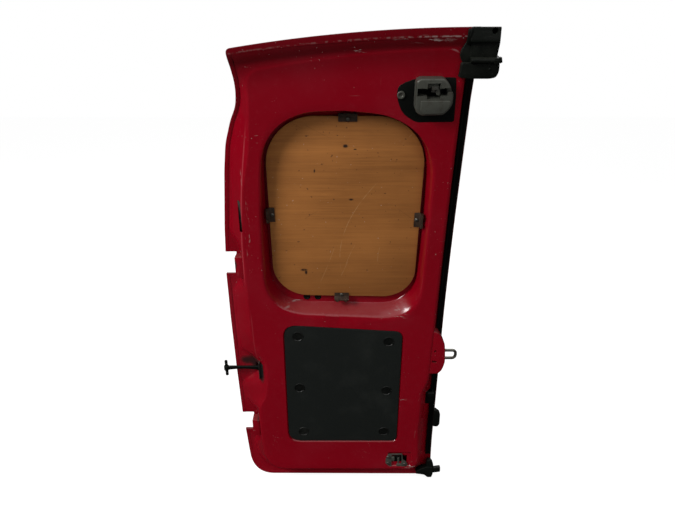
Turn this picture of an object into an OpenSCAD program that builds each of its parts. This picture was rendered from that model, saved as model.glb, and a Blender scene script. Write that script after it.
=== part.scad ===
// Van rear door, hinge edge on the left when seen from inside
// The pressed steel shell leans inward toward the top and carries its latches, seals and board.
// All sizes are millimetres. X runs from the hinge edge to the meeting edge, Z is up,
// and the inner side faces -Y. The origin is the middle of the upper hinge pad's flat face.

/* [Door] */
// Height of the door from its bottom edge to its highest corner
door_h = 1223; // [1000:1:1500]
// Width of the door from the hinge edge to the meeting edge
door_w = 556; // [480:1:680]
// How far the pressed inner face stands off the outer skin
pan_depth = 48; // [36:1:60]
// Thickness that the sheet steel is modelled with
sheet = 2.4; // [1.5:0.1:3]
// How far the top of the door leans toward the inner side
lean = 78; // [0:1:120]
// How far the bottom of the door tucks in
tuck = 20; // [0:1:30]
// Width of the fold that wraps the outer skin around the inner panel
hem_w = 9; // [6:0.5:14]

/* [Window board] */
// Height of the plywood board
board_h = 452; // [300:1:600]
// Width of the plywood board
board_w = 350; // [250:1:450]
// Thickness of the plywood board
board_t = 9; // [6:0.5:15]
// Corner radius at the bottom of the board
board_r = 48; // [20:1:80]
// Corner radius at the top of the board
board_top_r = 78; // [20:1:110]
// Width of the ledge that the pane and the board rest on
pane_seal_w = 22; // [16:1:30]
// Thickness of the dark pane behind the board
pane_t = 4; // [3:0.5:6]

/* [Access cover] */
// Height of the textured cover over the lower opening
cover_h = 372; // [250:1:450]
// Width of the cover at its top edge
cover_w = 304; // [220:1:380]
// Thickness of the cover
cover_t = 3; // [2:0.5:5]
// Corner radius of the cover
cover_r = 22; // [8:1:40]
// Radius of each recessed screw well
well_r = 13; // [8:0.5:18]
// Depth of each recessed screw well
well_d = 6; // [3:0.5:10]

/* [Hinge edge] */
// Height of each hinge notch and its pad
pad_h = 54; // [40:1:80]
// Depth of each hinge pad, from the inner side toward the skin
pad_d = 28; // [20:1:34]
// Thickness of each hinge pad, through the pressed wall
pad_t = 20; // [12:0.5:26]
// Distance between the two bolt holes of a hinge pad
pad_bolt_pitch = 30; // [20:1:50]
// Radius of a hinge bolt hole
pad_bolt_r = 4.25; // [3:0.25:6]
// Height of the check strap bar
strap_h = 12; // [8:0.5:20]
// Thickness of the check strap bar
strap_t = 6; // [4:0.5:10]
// Radius of the pin at the free end of the check strap
strap_pin_r = 4; // [3:0.25:6]
// Length of the pin at the free end of the check strap
strap_pin_len = 46; // [30:1:60]
// Distance that the check strap pulls out of the door
strap_travel = 70; // [20:1:90]

/* [Meeting edge] */
// Radius of the striker rod
rod_r = 4.5; // [3:0.25:6]
// Distance between the two legs of the striker eye
eye_pitch = 34; // [26:1:50]
// Reach of the striker eye beyond the boss
eye_reach = 38; // [25:1:50]
// Bend radius of the striker eye
eye_bend_r = 10; // [8:0.5:16]
// Width of the rubber weatherstrip
strip_w = 22; // [14:1:28]
// Height of the rubber weatherstrip's bulb
strip_t = 10; // [6:0.5:14]

/* [Latches] */
// Width of the upper latch housing
latch_w = 68; // [50:1:90]
// Height of the upper latch housing
latch_h = 70; // [50:1:90]
// Depth of the upper latch housing
latch_d = 28; // [18:1:40]
// Height of the mouth that takes the striker of the body
latch_mouth_h = 17; // [12:1:24]
// Width of the upper latch claw
claw_w = 12; // [8:0.5:16]
// Reach of the claw's prongs from its pin
claw_r = 11; // [9:0.5:14]
// Radius of the claw's pin
claw_pin_r = 3.5; // [2.5:0.25:5]
// Gap between the claw and its pin
claw_run = 0.05; // [0.02:0.01:0.1]
// Gap around the claw inside its housing
claw_gap = 5.5; // [5:0.5:8]

/* [Hidden] */
$fn = 64;
kx = door_w / 556;
kz = door_h / 1223;
skin_t = 2.5;
flange_h = skin_t;
seam = 0.4;
seat_gap = 0.25;
hem_h = flange_h + sheet + 2 * seam;
pad_x = -247;
pad_y_h = 10;
pad_hi_z = 692;
pad_lo_z = 188;
pad_lo_x = -239;
strap_z = 384;
strap_pin_x = -299;
strap_mid_h = 24;
strap_gap = 5;
strap_stop = 8;
box_x = 92 * kx;
box_len = 30;
strap_len = box_x + box_len + strap_travel + strap_stop + 15;
board_cx = 16;
board_mid = 829;
grow = (board_h - 452) / 2 / kz;
recess_h = 6;
cover_cx = 15;
cover_z0 = 150 - grow;
latch_x = 188;
latch_z = 1098;
mat_t = 2.5;
mat_h = pan_depth - 0.7;
lower_h = pan_depth - 1.2;
side_n = 30;
corner_n = 4;
top_n = 12;

// Height-to-depth curve of the whole door: straight in the middle, leaning in at both ends
function curve(z) =
    (z > 500 * kz ? -lean * pow((z - 500 * kz) / (door_h - 500 * kz), 1.6) : 0)
    - (z < 150 * kz ? tuck * pow((150 * kz - z) / (150 * kz), 2) : 0);
function slope(z) = (curve(z + 1) - curve(z - 1)) / 2;
// Point of the door at x, z and a height h above the outer skin
function at_h(p, h) = [p[0], curve(p[1]) - h, p[1]];

// Outlines: x of each side against height, for a door of nominal size
OUT_L = [[4, -246], [50, -256], [100, -262], [214, -271], [370, -276], [530, -279], [660, -278],
    [787, -269], [927, -254], [993, -244], [1044, -227], [1070, -213], [1101, -210], [1124, -211],
    [1145, -217], [1183, -231]];
OUT_R = [[2, 277], [1224, 277]];
WALL_L = [[30, -226], [88, -240], [123, -240], [151, -226], [230, -226], [262, -252], [330, -260],
    [358, -222], [412, -222], [430, -258], [495, -263], [620, -262], [650, -240], [738, -236],
    [775, -254], [860, -244], [978, -231], [1031, -218], [1071, -202], [1101, -198], [1160, -206]];
WALL_R = [[30, 258], [1192, 258]];
FACE_L = [[52, -205], [104, -205], [138, -213], [236, -216], [273, -215], [300, -198],
    [352, -190], [418, -191], [463, -214], [494, -225], [621, -225], [772, -224], [891, -213],
    [986, -191], [1070, -183], [1106, -181], [1145, -188]];
FACE_R = [[52, 232], [114, 232], [192, 227], [236, 229], [282, 229], [313, 227], [350, 240],
    [370, 244], [512, 247], [842, 248], [1130, 248], [1188, 246]];
// The window's outlines keep their distance to the board
function window_side(t) = [for (p = t) [board_mid + (p[0] - board_mid) * board_h / 452 / kz,
    board_cx + (p[1] - board_cx) * board_w / 350 / kx]];
RIM_L = window_side([[552, -168], [650, -177], [713, -179], [847, -175], [930, -170], [1000, -166],
    [1074, -154]]);
RIM_R = window_side([[548, 198], [635, 204], [719, 207], [835, 209], [942, 208], [1078, 190]]);
FLOOR_L = window_side([[584, -154], [640, -163], [800, -166], [930, -165], [1000, -163],
    [1066, -151]]);
FLOOR_R = window_side([[582, 186], [640, 194], [800, 198], [930, 197], [1069, 182]]);

function side_x(t, z) =
    (lookup(z / kz - 9, t) + 2 * lookup(z / kz, t) + lookup(z / kz + 9, t)) / 4 * kx;
function bez(a, b, c, t) = (1 - t) * (1 - t) * a + 2 * t * (1 - t) * b + t * t * c;

// Closed ring of points between a left and a right outline, with rounded corners
function ring(lt, rt, r, sag, d) =
    let (
        zbl = lt[0][0] * kz + d, ztl = lt[len(lt) - 1][0] * kz - d,
        zbr = rt[0][0] * kz + d, ztr = rt[len(rt) - 1][0] * kz - d,
        tl = [side_x(lt, ztl) + d, ztl], tr = [side_x(rt, ztr) - d, ztr],
        bl = [side_x(lt, zbl) + d, zbl], br = [side_x(rt, zbr) - d, zbr],
        w1 = tr[0] - tl[0], w0 = br[0] - bl[0],
        tla = [side_x(lt, ztl - r) + d, ztl - r], tra = [side_x(rt, ztr - r) - d, ztr - r],
        bla = [side_x(lt, zbl + r) + d, zbl + r], bra = [side_x(rt, zbr + r) - d, zbr + r],
        tlb = top_pt(tl, tr, r / w1, sag), trb = top_pt(tl, tr, 1 - r / w1, sag),
        blb = top_pt(bl, br, r / w0, 0), brb = top_pt(bl, br, 1 - r / w0, 0)
    )
    concat(
        [for (i = [0 : side_n]) let (z = bla[1] + (tla[1] - bla[1]) * i / side_n)
            [side_x(lt, z) + d, z]],
        [for (i = [1 : corner_n]) bez(tla, tl, tlb, i / (corner_n + 1))],
        [for (i = [0 : top_n]) top_pt(tl, tr, r / w1 + (1 - 2 * r / w1) * i / top_n, sag)],
        [for (i = [1 : corner_n]) bez(trb, tr, tra, i / (corner_n + 1))],
        [for (i = [0 : side_n]) let (z = tra[1] + (bra[1] - tra[1]) * i / side_n)
            [side_x(rt, z) - d, z]],
        [for (i = [1 : corner_n]) bez(bra, br, brb, i / (corner_n + 1))],
        [for (i = [0 : top_n]) top_pt(br, bl, r / w0 + (1 - 2 * r / w0) * i / top_n, 0)],
        [for (i = [1 : corner_n]) bez(blb, bl, bla, i / (corner_n + 1))]
    );
function top_pt(a, b, t, sag) = a + (b - a) * t + [0, sag * 4 * t * (1 - t)];
function mix(a, b, t) = [for (i = [0 : len(a) - 1]) a[i] + (b[i] - a[i]) * t];
function raise(r, h) = [for (p = r) at_h(p, h)];

// Closed band: a cross-section of rings swept around the door, as one watertight solid.
// From the ring at turn on, the quads split along the other diagonal, so both faces of a sheet match.
module band(rings, turn = 0) {
    n = len(rings[0]);
    m = len(rings);
    pts = [for (r = rings) for (p = r) p];
    tris = [
        for (j = [0 : m - 1]) for (i = [0 : n - 1])
            let (a = j * n + i, b = j * n + (i + 1) % n,
                 c = ((j + 1) % m) * n + (i + 1) % n, e = ((j + 1) % m) * n + i)
            each (j < turn ? [[a, b, c], [a, c, e]] : [[a, b, e], [b, c, e]])
    ];
    polyhedron(points = pts, faces = tris, convexity = 8);
}

// Local frame on the door's inner side: X right, Z up the surface, -Y out toward the cabin
module on(x, z, h) {
    translate([x * kx, curve(z * kz) - h, z * kz]) rotate([atan(-slope(z * kz)), 0, 0]) children();
}
// Plate from a flat drawing in the local X and Z, from y = 0 out to y = -t
module plate(t) { rotate([90, 0, 0]) linear_extrude(t) children(); }
// Round bar along the local Y, from y = 0 out to y = -t
module post(r, t) { rotate([90, 0, 0]) cylinder(r = r, h = t); }
// Rectangle with four rounded corners, built from its centre
module round_rect(w, h, r) {
    square([w - 2 * r, h], center = true);
    square([w, h - 2 * r], center = true);
    for (sx = [-1, 1]) for (sz = [-1, 1])
        translate([sx * (w / 2 - r), sz * (h / 2 - r)]) circle(r);
}
module place() { translate([-pad_x * kx, pad_y_h + pad_d / 2 - curve(pad_hi_z * kz), -pad_hi_z * kz]) children(); }

spread = [0.04, 0.1, 0.18, 0.3, 0.6, 0.8];
outer_ring = ring(OUT_L, OUT_R, 10, 9, 0);
rim_ring = ring(RIM_L, RIM_R, 86, 8, 0);
floor_ring = ring(FLOOR_L, FLOOR_R, 76, 7, 0);
pane_ring = ring(FLOOR_L, FLOOR_R, 60, 7, pane_seal_w);
face_ring = ring(FACE_L, FACE_R, 34, 9, 0);
face_top_ring = ring(FACE_L, FACE_R, 32, 9, 4);
wall_ring = ring(WALL_L, WALL_R, 30, 9, 0);

module outer_skin() color("firebrick") place() difference() {
    edge = ring(OUT_L, OUT_R, 8, 9, 1.2);
    lip = ring(OUT_L, OUT_R, 6, 9, hem_w);
    inset = ring(OUT_L, OUT_R, 6, 9, hem_w + 3);
    band([
        raise(outer_ring, 0), raise(inset, 0), for (t = spread) raise(mix(inset, floor_ring, t), 0),
        raise(floor_ring, 0), raise(floor_ring, skin_t),
        for (i = [len(spread) - 1 : -1 : 0]) raise(mix(inset, floor_ring, spread[i]), skin_t),
        raise(inset, skin_t), raise(edge, skin_t),
        raise(edge, hem_h), raise(lip, hem_h), raise(lip, hem_h + 1.5), raise(outer_ring, hem_h + 1.5)
    ], len(spread) + 2);
    notch(pad_x, pad_hi_z);
    notch(pad_lo_x, pad_lo_z);
}

module panel_loft() {
    flange = ring(OUT_L, OUT_R, 8, 9, 1.2);
    step = ring(OUT_L, OUT_R, 6, 9, hem_w + 1);
    n = 5;
    band([
        raise(flange, hem_h - seam), raise(step, hem_h - seam), raise(wall_ring, hem_h + 4),
        raise(face_ring, pan_depth - 3), raise(face_top_ring, pan_depth),
        for (i = [1 : n]) raise(mix(face_top_ring, rim_ring, i / (n + 1)), pan_depth),
        raise(rim_ring, pan_depth), raise(mix(rim_ring, floor_ring, 0.25), pan_depth - 4),
        raise(floor_ring, recess_h + sheet), raise(pane_ring, recess_h + sheet),
        raise(pane_ring, recess_h), raise(floor_ring, recess_h),
        raise(mix(rim_ring, floor_ring, 0.25), pan_depth - 4 - sheet), raise(rim_ring, pan_depth - sheet),
        for (i = [n : -1 : 1]) raise(mix(face_top_ring, rim_ring, i / (n + 1)), pan_depth - sheet),
        raise(face_top_ring, pan_depth - sheet), raise(face_ring, pan_depth - 3 - sheet),
        raise(wall_ring, hem_h + 4 - sheet), raise(step, flange_h + seam), raise(flange, flange_h + seam)
    ], n + 8);
}
module cover_shape(d) {
    translate([0, cover_h / 2]) round_rect(cover_w - 2 * d, cover_h - 2 * d, max(cover_r - d, 3));
}
screw_x = 116;
screw_z = [36, 183, 342];
module inner_panel() color("crimson") place() difference() {
    union() {
        panel_loft();
        on(cover_cx, cover_z0, pan_depth - 4 - sheet) plate(sheet + 3.2) cover_shape(-6);
    }
    on(cover_cx, cover_z0, pan_depth - 4) plate(10) cover_shape(-1);
    on(cover_cx, cover_z0, pan_depth - 20) plate(30) cover_shape(24);
    for (sx = [-1, 1]) for (z = screw_z)
        on(cover_cx + sx * screw_x, cover_z0 + z, pan_depth - 20) post(well_r + 1, 30);
    pad_block(pad_x, pad_hi_z, 40);
    pad_block(pad_lo_x, pad_lo_z, 40);
    notch(pad_x, pad_hi_z);
    notch(pad_lo_x, pad_lo_z);
    on_strap() translate([box_x - 3, -17, -26]) cube([3.5, 32, 52]);
    on_strap() translate([box_x - 30, -strap_t / 2 - strap_gap, -strap_h / 2 - strap_gap])
        cube([30.5, strap_t + 2 * strap_gap, strap_h + 2 * strap_gap]);
    box_block();
    on(latch_x, latch_z, mat_h) plate(10) mat_shape();
    on(184, 84, lower_h) plate(10) lower_latch_shape();
    on(184, 84, pan_depth - 10) plate(20) translate([-2, 0]) square([40, 20], center = true);
    on(-222, 833, 15) plate(40) round_rect(7, 76, 3.4);
    cap_block();
    corner_block();
    clip_block();
    boss_block();
    on_plug() translate([0, 15, 0]) post(plug_r - 2, 30);
}
plug_x = [-78, -50];
plug_z = 595 - grow;
plug_r = 9;
module on_plug() for (x = plug_x) on(x, plug_z, recess_h + sheet + seat_gap) children();
module notch(x, z) {
    translate([x * kx - 60, curve(z * kz) - 60, z * kz - pad_h / 2 - 4]) cube([60, 80, pad_h + 8]);
}
module pad_block(x, z, extra) {
    translate([x * kx, curve(z * kz) - pad_y_h - pad_d, z * kz - pad_h / 2]) cube([pad_t, pad_d, pad_h]);
}
module hinge_pad(x, z) {
    difference() {
        pad_block(x, z, 0);
        for (s = [-1, 1])
            translate([x * kx - 1, curve(z * kz) - pad_y_h - pad_d / 2, z * kz + s * pad_bolt_pitch / 2])
                rotate([0, 90, 0]) cylinder(r = pad_bolt_r, h = pad_t + 2);
    }
}
module upper_hinge_pad() color("darkred") place() hinge_pad(pad_x, pad_hi_z);
module lower_hinge_pad() color("darkred") place() hinge_pad(pad_lo_x, pad_lo_z);

// Slab that follows the door's curve between two heights
module curved_slab(h0, h1, z0, z1) {
    n = 24;
    zs = [for (i = [0 : n]) z0 + (z1 - z0) * i / n];
    translate([-400 * kx, 0, 0]) rotate([90, 0, 90]) linear_extrude(800 * kx) polygon(concat(
        [for (z = zs) [curve(z) - h0, z]], [for (i = [n : -1 : 0]) [curve(zs[i]) - h1, zs[i]]]
    ));
}
// Prism through the whole door behind a flat outline in X and Z
module through(pts) { translate([0, door_w, 0]) rotate([90, 0, 0]) linear_extrude(2 * door_w) polygon(pts); }
// Height of the window opening's lower end (s = -1) or upper end (s = 1), with some to spare
function opening_z(s) = board_mid * kz + s * (board_h / 2 + 44);
module window_pane() color("black") place() intersection() {
    curved_slab(1, 1 + pane_t, opening_z(-1), opening_z(1));
    through(ring(FLOOR_L, FLOOR_R, 70, 7, 5));
}
module pane_seal() color("black") place() difference() {
    intersection() {
        curved_slab(0.4, recess_h - seat_gap, opening_z(-1), opening_z(1));
        through(ring(FLOOR_L, FLOOR_R, 75, 7, 1));
    }
    through(ring(FLOOR_L, FLOOR_R, 64, 7, 12));
    intersection() {
        curved_slab(0, 1 + pane_t, opening_z(-1), opening_z(1));
        through(ring(FLOOR_L, FLOOR_R, 70, 7, 5));
    }
}
module board_frame() {
    z0 = board_mid * kz - board_h / 2;
    z1 = z0 + board_h;
    a = atan2(curve(z0) - curve(z1), z1 - z0);
    translate([board_cx * kx, curve(z0), z0]) rotate([a, 0, 0]) children();
}
module board_shape(d) {
    w = board_w + 2 * d;
    translate([-w / 2, -d]) {
        translate([board_r, 0]) square([w - 2 * board_r, 1 + board_r]);
        translate([0, board_r]) square([w, board_h + 2 * d - board_r - board_top_r]);
        translate([board_top_r, board_h + 2 * d - board_top_r - 1])
            square([w - 2 * board_top_r, board_top_r + 1]);
        for (s = [0, 1]) {
            translate([s ? w - board_r : board_r, board_r]) circle(board_r);
            translate([s ? w - board_top_r : board_top_r, board_h + 2 * d - board_top_r]) circle(board_top_r);
        }
    }
}
module board_seal() color("dimgray") place() difference() {
    intersection() {
        curved_slab(recess_h + sheet + seat_gap, recess_h + sheet + 2, opening_z(-1), opening_z(1));
        through(ring(FLOOR_L, FLOOR_R, 74, 7, 3));
    }
    through(ring(FLOOR_L, FLOOR_R, 60, 7, pane_seal_w));
    on_plug() translate([0, 15, 0]) post(plug_r + 0.5, 30);
}
module window_board() color("peru") place()
    board_frame() translate([0, -recess_h - sheet - 2, 0]) plate(board_t) board_shape(0);
board_face = recess_h + sheet + 2 + board_t;
// Angle clip: one leg on the board, the other standing along the recess wall
module board_clip(w, l) {
    difference() {
        union() {
            plate(2.5) translate([-w / 2, -5]) square([w, l]);
            translate([-w / 2, -18, -5]) cube([w, 18, 2.5]);
        }
        translate([0, 1, 8]) post(2.6, 6);
    }
}
module clip_at(x, z, a, w, l) {
    board_frame() translate([x, -board_face, z]) rotate([0, a, 0]) board_clip(w, l);
}
module board_clip_top() color("saddlebrown") place() clip_at(5, board_h + 2, 180, 52, 26);
module board_clip_left() color("saddlebrown") place() clip_at(-board_w / 2 + 3, 228, 90, 46, 20);
module board_clip_right() color("saddlebrown") place() clip_at(board_w / 2 - 3, 215, -90, 46, 20);
module board_clip_bottom() color("saddlebrown") place() clip_at(-6, 1, 0, 42, 22);
module clip_screw(x, z, a) {
    board_frame() translate([x, -board_face, z]) rotate([0, a, 0]) translate([0, -2.5, 8]) {
        post(5, 2.2);
        translate([0, 2.4, 0]) post(2.4, 2.5);
    }
}
module board_screws() color("silver") place() {
    clip_screw(5, board_h + 2, 180);
    clip_screw(-board_w / 2 + 3, 228, 90);
    clip_screw(board_w / 2 - 3, 215, -90);
    clip_screw(-6, 1, 0);
}

module access_cover() color("black") place() difference() {
    union() {
        on(cover_cx, cover_z0, pan_depth - 4) plate(cover_t) cover_shape(0);
        for (sx = [-1, 1]) for (z = screw_z)
            on(cover_cx + sx * screw_x, cover_z0 + z, pan_depth - 4 - well_d) post(well_r, well_d + 1);
    }
    for (sx = [-1, 1]) for (z = screw_z) on(cover_cx + sx * screw_x, cover_z0 + z, pan_depth - 4) {
        translate([0, well_d - 2, 0]) post(well_r - 2, well_d + 10);
        translate([0, 20, 0]) post(2.6, 30);
    }
}
module cover_screws() color("gray") place()
    for (sx = [-1, 1]) for (z = screw_z) on(cover_cx + sx * screw_x, cover_z0 + z, pan_depth - 4) {
        translate([0, well_d - 2, 0]) post(5.5, 3);
        translate([0, well_d + 6, 0]) post(2.5, 8.5);
    }

module body_plugs() color("black") place() on_plug() {
    post(plug_r, 1.5);
    translate([0, sheet, 0]) post(plug_r - 2.2, sheet + 0.5);
}

module mat_shape() polygon([
    [-70, 11], [-57, 25], [-28, 34], [9, 36], [48, 35], [48, -1], [50, -53], [-28, -54],
    [-57, -38], [-69, -17]
]);
module latch_mat() color("black") place() on(latch_x, latch_z, mat_h) plate(mat_t) mat_shape();
module mat_button() color("dimgray") place() on_latch() translate([-63, 0, 1]) post(8, 3);
module housing_shape() polygon([
    [-latch_w / 2, latch_h / 2], [latch_w / 2 - 12, latch_h / 2 - 4], [latch_w / 2 + 2, latch_h / 2 - 24],
    [latch_w / 2, -latch_h / 2 + 24], [latch_w / 2 - 10, -latch_h / 2 + 4], [-latch_w / 2 + 10, -latch_h / 2],
    [-latch_w / 2, -latch_h / 2 + 10]
]);
claw_slot = claw_w + 2 * claw_gap;
claw_hub_r = claw_pin_r + 2.5;
mouth_top = 18;
claw_z = mouth_top + claw_pin_r + 0.5;
claw_y = -latch_d + 12;
module on_latch() on(latch_x, latch_z, mat_h) translate([0, -mat_t, 0]) children();
module on_claw(x) translate([x, claw_y, claw_z]) rotate([0, 90, 0]) children();
module upper_latch_housing() color("gray") place() on_latch() difference() {
    plate(latch_d) housing_shape();
    translate([-latch_w / 2 + 3, -latch_d - 1, mouth_top - latch_mouth_h])
        cube([latch_w - 6, latch_d - 3, latch_mouth_h]);
    translate([-claw_slot / 2, -latch_d - 1, -4]) cube([claw_slot, latch_d - 0.5, claw_z + claw_hub_r + claw_gap + 4]);
    on_claw(-claw_slot / 2 - 6) cylinder(r = claw_pin_r, h = claw_slot + 12);
}
module upper_latch_back() color("dimgray") place() on_latch()
    translate([0, -latch_d, -17]) plate(2.5) round_rect(52, 22, 4);
module claw_pin() color("silver") place() on_latch() on_claw(-claw_slot / 2 - 6)
    cylinder(r = claw_pin_r, h = claw_slot + 12);
module upper_latch_claw() color("silver") place() on_latch() on_claw(-claw_w / 2) difference() {
    union() {
        cylinder(r = claw_hub_r, h = claw_w);
        translate([-3, -claw_r, 0]) cube([6, claw_r, claw_w]);
        translate([0, -3, 0]) cube([claw_r - 1, 6, claw_w]);
    }
    translate([0, 0, -1]) cylinder(r = claw_pin_r + claw_run, h = claw_w + 2);
}

module lower_latch_shape() polygon([[-42, -26], [32, -26], [36, 22], [-42, 28]]);
module lower_latch_body() color("dimgray") place() on(184, 84, lower_h) difference() {
    plate(3) lower_latch_shape();
    translate([-22, -10, -10]) cube([40, 20, 20]);
    for (p = lower_screws) translate([p[0], 1, p[1]]) post(3, 8);
}
lower_screws = [[-34, 16], [-34, -6], [26, -14]];
module lower_latch_screws() color("silver") place() on(184, 84, lower_h) translate([0, -3, 0])
    for (p = lower_screws) translate([p[0], 0, p[1]]) {
        post(5, 3);
        translate([0, 2.9, 0]) post(2.9, 4);
    }

module meeting_edge_strip() color("black") place() intersection() {
    band([
        raise(ring(OUT_L, OUT_R, 8, 9, 2), hem_h + 1.5 + seat_gap),
        raise(ring(OUT_L, OUT_R, 8, 9, 3), hem_h + strip_t - 2),
        raise(ring(OUT_L, OUT_R, 8, 9, 8), hem_h + strip_t),
        raise(ring(OUT_L, OUT_R, 8, 9, strip_w - 4), hem_h + strip_t),
        raise(ring(OUT_L, OUT_R, 8, 9, strip_w - 4), hem_h + strip_t - 3),
        raise(ring(OUT_L, OUT_R, 8, 9, hem_w), hem_h + 1.5 + seat_gap)
    ]);
    translate([200 * kx, -300, 70 * kz]) cube([200, 400, 1050 * kz]);
}
module cap_block() on(272, 1176, 12) plate(30) polygon([
    [-24, 48], [24, 46], [31, 30], [31, 0], [27, -36], [16, -46], [-30, -46], [-33, 0]
]);
module top_end_cap() color("black") place() difference() {
    cap_block();
    on(283, 1212, 0) translate([0, 0, 0]) post(7, 60);
}
module corner_block() on(258, 26, 10) plate(26) polygon([
    [-26, 8], [2, 18], [16, 32], [22, 30], [27, 16], [45, 18], [42, -4], [20, -6], [17, -17], [-2, -17], [-28, -6]
]);
module lower_corner_cap() color("black") place() corner_block();
module edge_buffer() color("black") place() on(272, 212, hem_h + strip_t + 0.3) plate(16) polygon([
    [-2, 32], [17, 17], [17, -24], [10, -30], [-2, -26]
]);
module clip_block() on(250, 288, hem_h + strip_t + 0.3) plate(22) square([32, 42], center = true);
module edge_clip() color("black") place() clip_block();

module boss_block() on(262, 445, hem_h + strip_t + 0.3) plate(pan_depth - strip_t - hem_h - 2) polygon([
    [-18, 66], [-8, 66], [4, 52], [13, 34], [17, 4], [17, -28], [13, -46], [6, -58], [-18, -62]
]);
module striker_plate() color("darkred") place() difference() {
    boss_block();
    on(266, 460, 0) post(4, 90);
    on(262, 425, 0) post(8, 90);
    on_eye() for (s = [-1, 1]) translate([-8, 0, s * eye_pitch / 2]) rotate([0, 90, 0])
        cylinder(r = rod_r + 0.05, h = 40);
}
module on_eye() on(279, 432, 27) children();
module striker_eye() color("gray") place() on_eye() {
    for (s = [-1, 1]) {
        translate([-8, 0, s * eye_pitch / 2]) rotate([0, 90, 0]) cylinder(r = rod_r, h = 8 + eye_reach - eye_bend_r);
        translate([eye_reach - eye_bend_r, 0, s * (eye_pitch / 2 - eye_bend_r)]) rotate([90, 0, 0])
            rotate_extrude(angle = s * 90) translate([eye_bend_r, 0]) circle(rod_r);
    }
    translate([eye_reach, 0, -eye_pitch / 2 + eye_bend_r]) cylinder(r = rod_r, h = eye_pitch - 2 * eye_bend_r);
}

module on_strap() { translate([strap_pin_x * kx, curve(strap_z * kz) - strap_mid_h, strap_z * kz]) children(); }
module check_strap() color("black") place() on_strap() {
    cylinder(r = strap_pin_r, h = strap_pin_len, center = true);
    cylinder(r = strap_pin_r + 3, h = strap_h + 2, center = true);
    translate([0, -strap_t / 2, -strap_h / 2]) cube([strap_len, strap_t, strap_h]);
    translate([strap_len - strap_stop, -strap_t, -strap_h / 2 - 2]) cube([strap_stop, 2 * strap_t, strap_h + 4]);
}
module box_block() on_strap() translate([box_x, -14, -20]) cube([box_len, 28, 40]);
module check_box() color("dimgray") place() on_strap() difference() {
    translate([box_x, -14, -20]) cube([box_len, 28, 40]);
    translate([box_x - 1, -strap_t / 2 - 0.5, -strap_h / 2 - 0.5]) cube([box_len + 2, strap_t + 1, strap_h + 1]);
}
module gasket_block() on_strap() translate([box_x - 3, -17, -26]) cube([3, 32, 52]);
module check_gasket() color("black") place() difference() {
    gasket_block();
    on_strap()
    translate([box_x - 5, -strap_t / 2 - 0.5, -strap_h / 2 - 0.5]) cube([10, strap_t + 1, strap_h + 1]);
}
module slot_plate() color("silver") place() on(-222, 833, 15) translate([0, -17, 0])
    plate(5) round_rect(7 - 2 * seat_gap, 76 - 2 * seat_gap, 3);

outer_skin();
inner_panel();
window_pane();
pane_seal();
board_seal();
window_board();
board_clip_top();
board_clip_left();
board_clip_right();
board_clip_bottom();
board_screws();
access_cover();
cover_screws();
body_plugs();
latch_mat();
mat_button();
upper_latch_housing();
upper_latch_back();
claw_pin();
upper_latch_claw();
lower_latch_body();
lower_latch_screws();
meeting_edge_strip();
top_end_cap();
lower_corner_cap();
edge_buffer();
edge_clip();
striker_plate();
striker_eye();
check_strap();
check_box();
check_gasket();
upper_hinge_pad();
lower_hinge_pad();
slot_plate();
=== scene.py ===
"""Van rear door seen from its inner side.

Pressed red steel, a boarded window, latches, seals and a check strap. Drawings are in millimetres
from the middle of the door's bottom edge; DoorForm moves them to the frame, in metres.
"""

from __future__ import annotations

import logging
import math
from dataclasses import dataclass, field
from enum import Enum
from functools import reduce
from typing import Any, Callable, Sequence

import bmesh
import bpy
from mathutils import Matrix, Vector

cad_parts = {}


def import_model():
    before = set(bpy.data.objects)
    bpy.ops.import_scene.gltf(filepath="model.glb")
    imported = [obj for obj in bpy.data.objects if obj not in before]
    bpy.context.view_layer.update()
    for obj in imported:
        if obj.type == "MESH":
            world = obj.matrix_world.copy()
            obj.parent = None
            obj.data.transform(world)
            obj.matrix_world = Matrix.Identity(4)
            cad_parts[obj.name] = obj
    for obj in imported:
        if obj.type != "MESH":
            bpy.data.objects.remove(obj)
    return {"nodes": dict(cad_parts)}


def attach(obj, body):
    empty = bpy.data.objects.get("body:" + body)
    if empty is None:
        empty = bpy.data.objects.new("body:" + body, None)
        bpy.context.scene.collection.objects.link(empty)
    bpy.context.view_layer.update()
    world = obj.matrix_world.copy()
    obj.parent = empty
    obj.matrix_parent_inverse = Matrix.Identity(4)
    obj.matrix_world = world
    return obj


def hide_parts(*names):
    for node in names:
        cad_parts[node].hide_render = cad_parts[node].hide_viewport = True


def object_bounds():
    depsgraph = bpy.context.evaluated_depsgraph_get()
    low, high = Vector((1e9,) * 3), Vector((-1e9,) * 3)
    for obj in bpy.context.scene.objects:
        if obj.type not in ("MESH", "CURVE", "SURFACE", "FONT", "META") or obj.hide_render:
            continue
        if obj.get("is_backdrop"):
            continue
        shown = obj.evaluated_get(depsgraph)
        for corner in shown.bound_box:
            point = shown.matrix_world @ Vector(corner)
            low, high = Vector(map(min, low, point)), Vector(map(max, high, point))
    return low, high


log = logging.getLogger("van_door")

Object = bpy.types.Object
Point = tuple[float, float]
Table = tuple[Point, ...]
Triple = tuple[float, float, float]
Marks = tuple[tuple[float, ...], ...]
MM = 0.001  # a millimetre, in metres
PER_METRE = 1000.0  # millimetres in a metre
WELD = 0.00005  # points closer than this are merged, in metres


class Slot(Enum):
    """Material slots of the record, passed with each new piece but not read."""

    PAINT = "red_paint"
    GLASS = "dark_glass"
    RUBBER = "black_rubber"
    WOOD = "plywood"
    CLIP = "bronze_steel"
    PLASTIC = "black_plastic"
    STEEL = "bare_steel"
    LATCH = "latch_steel"


# ---------------------------------------------------------------- shader arithmetic


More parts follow.
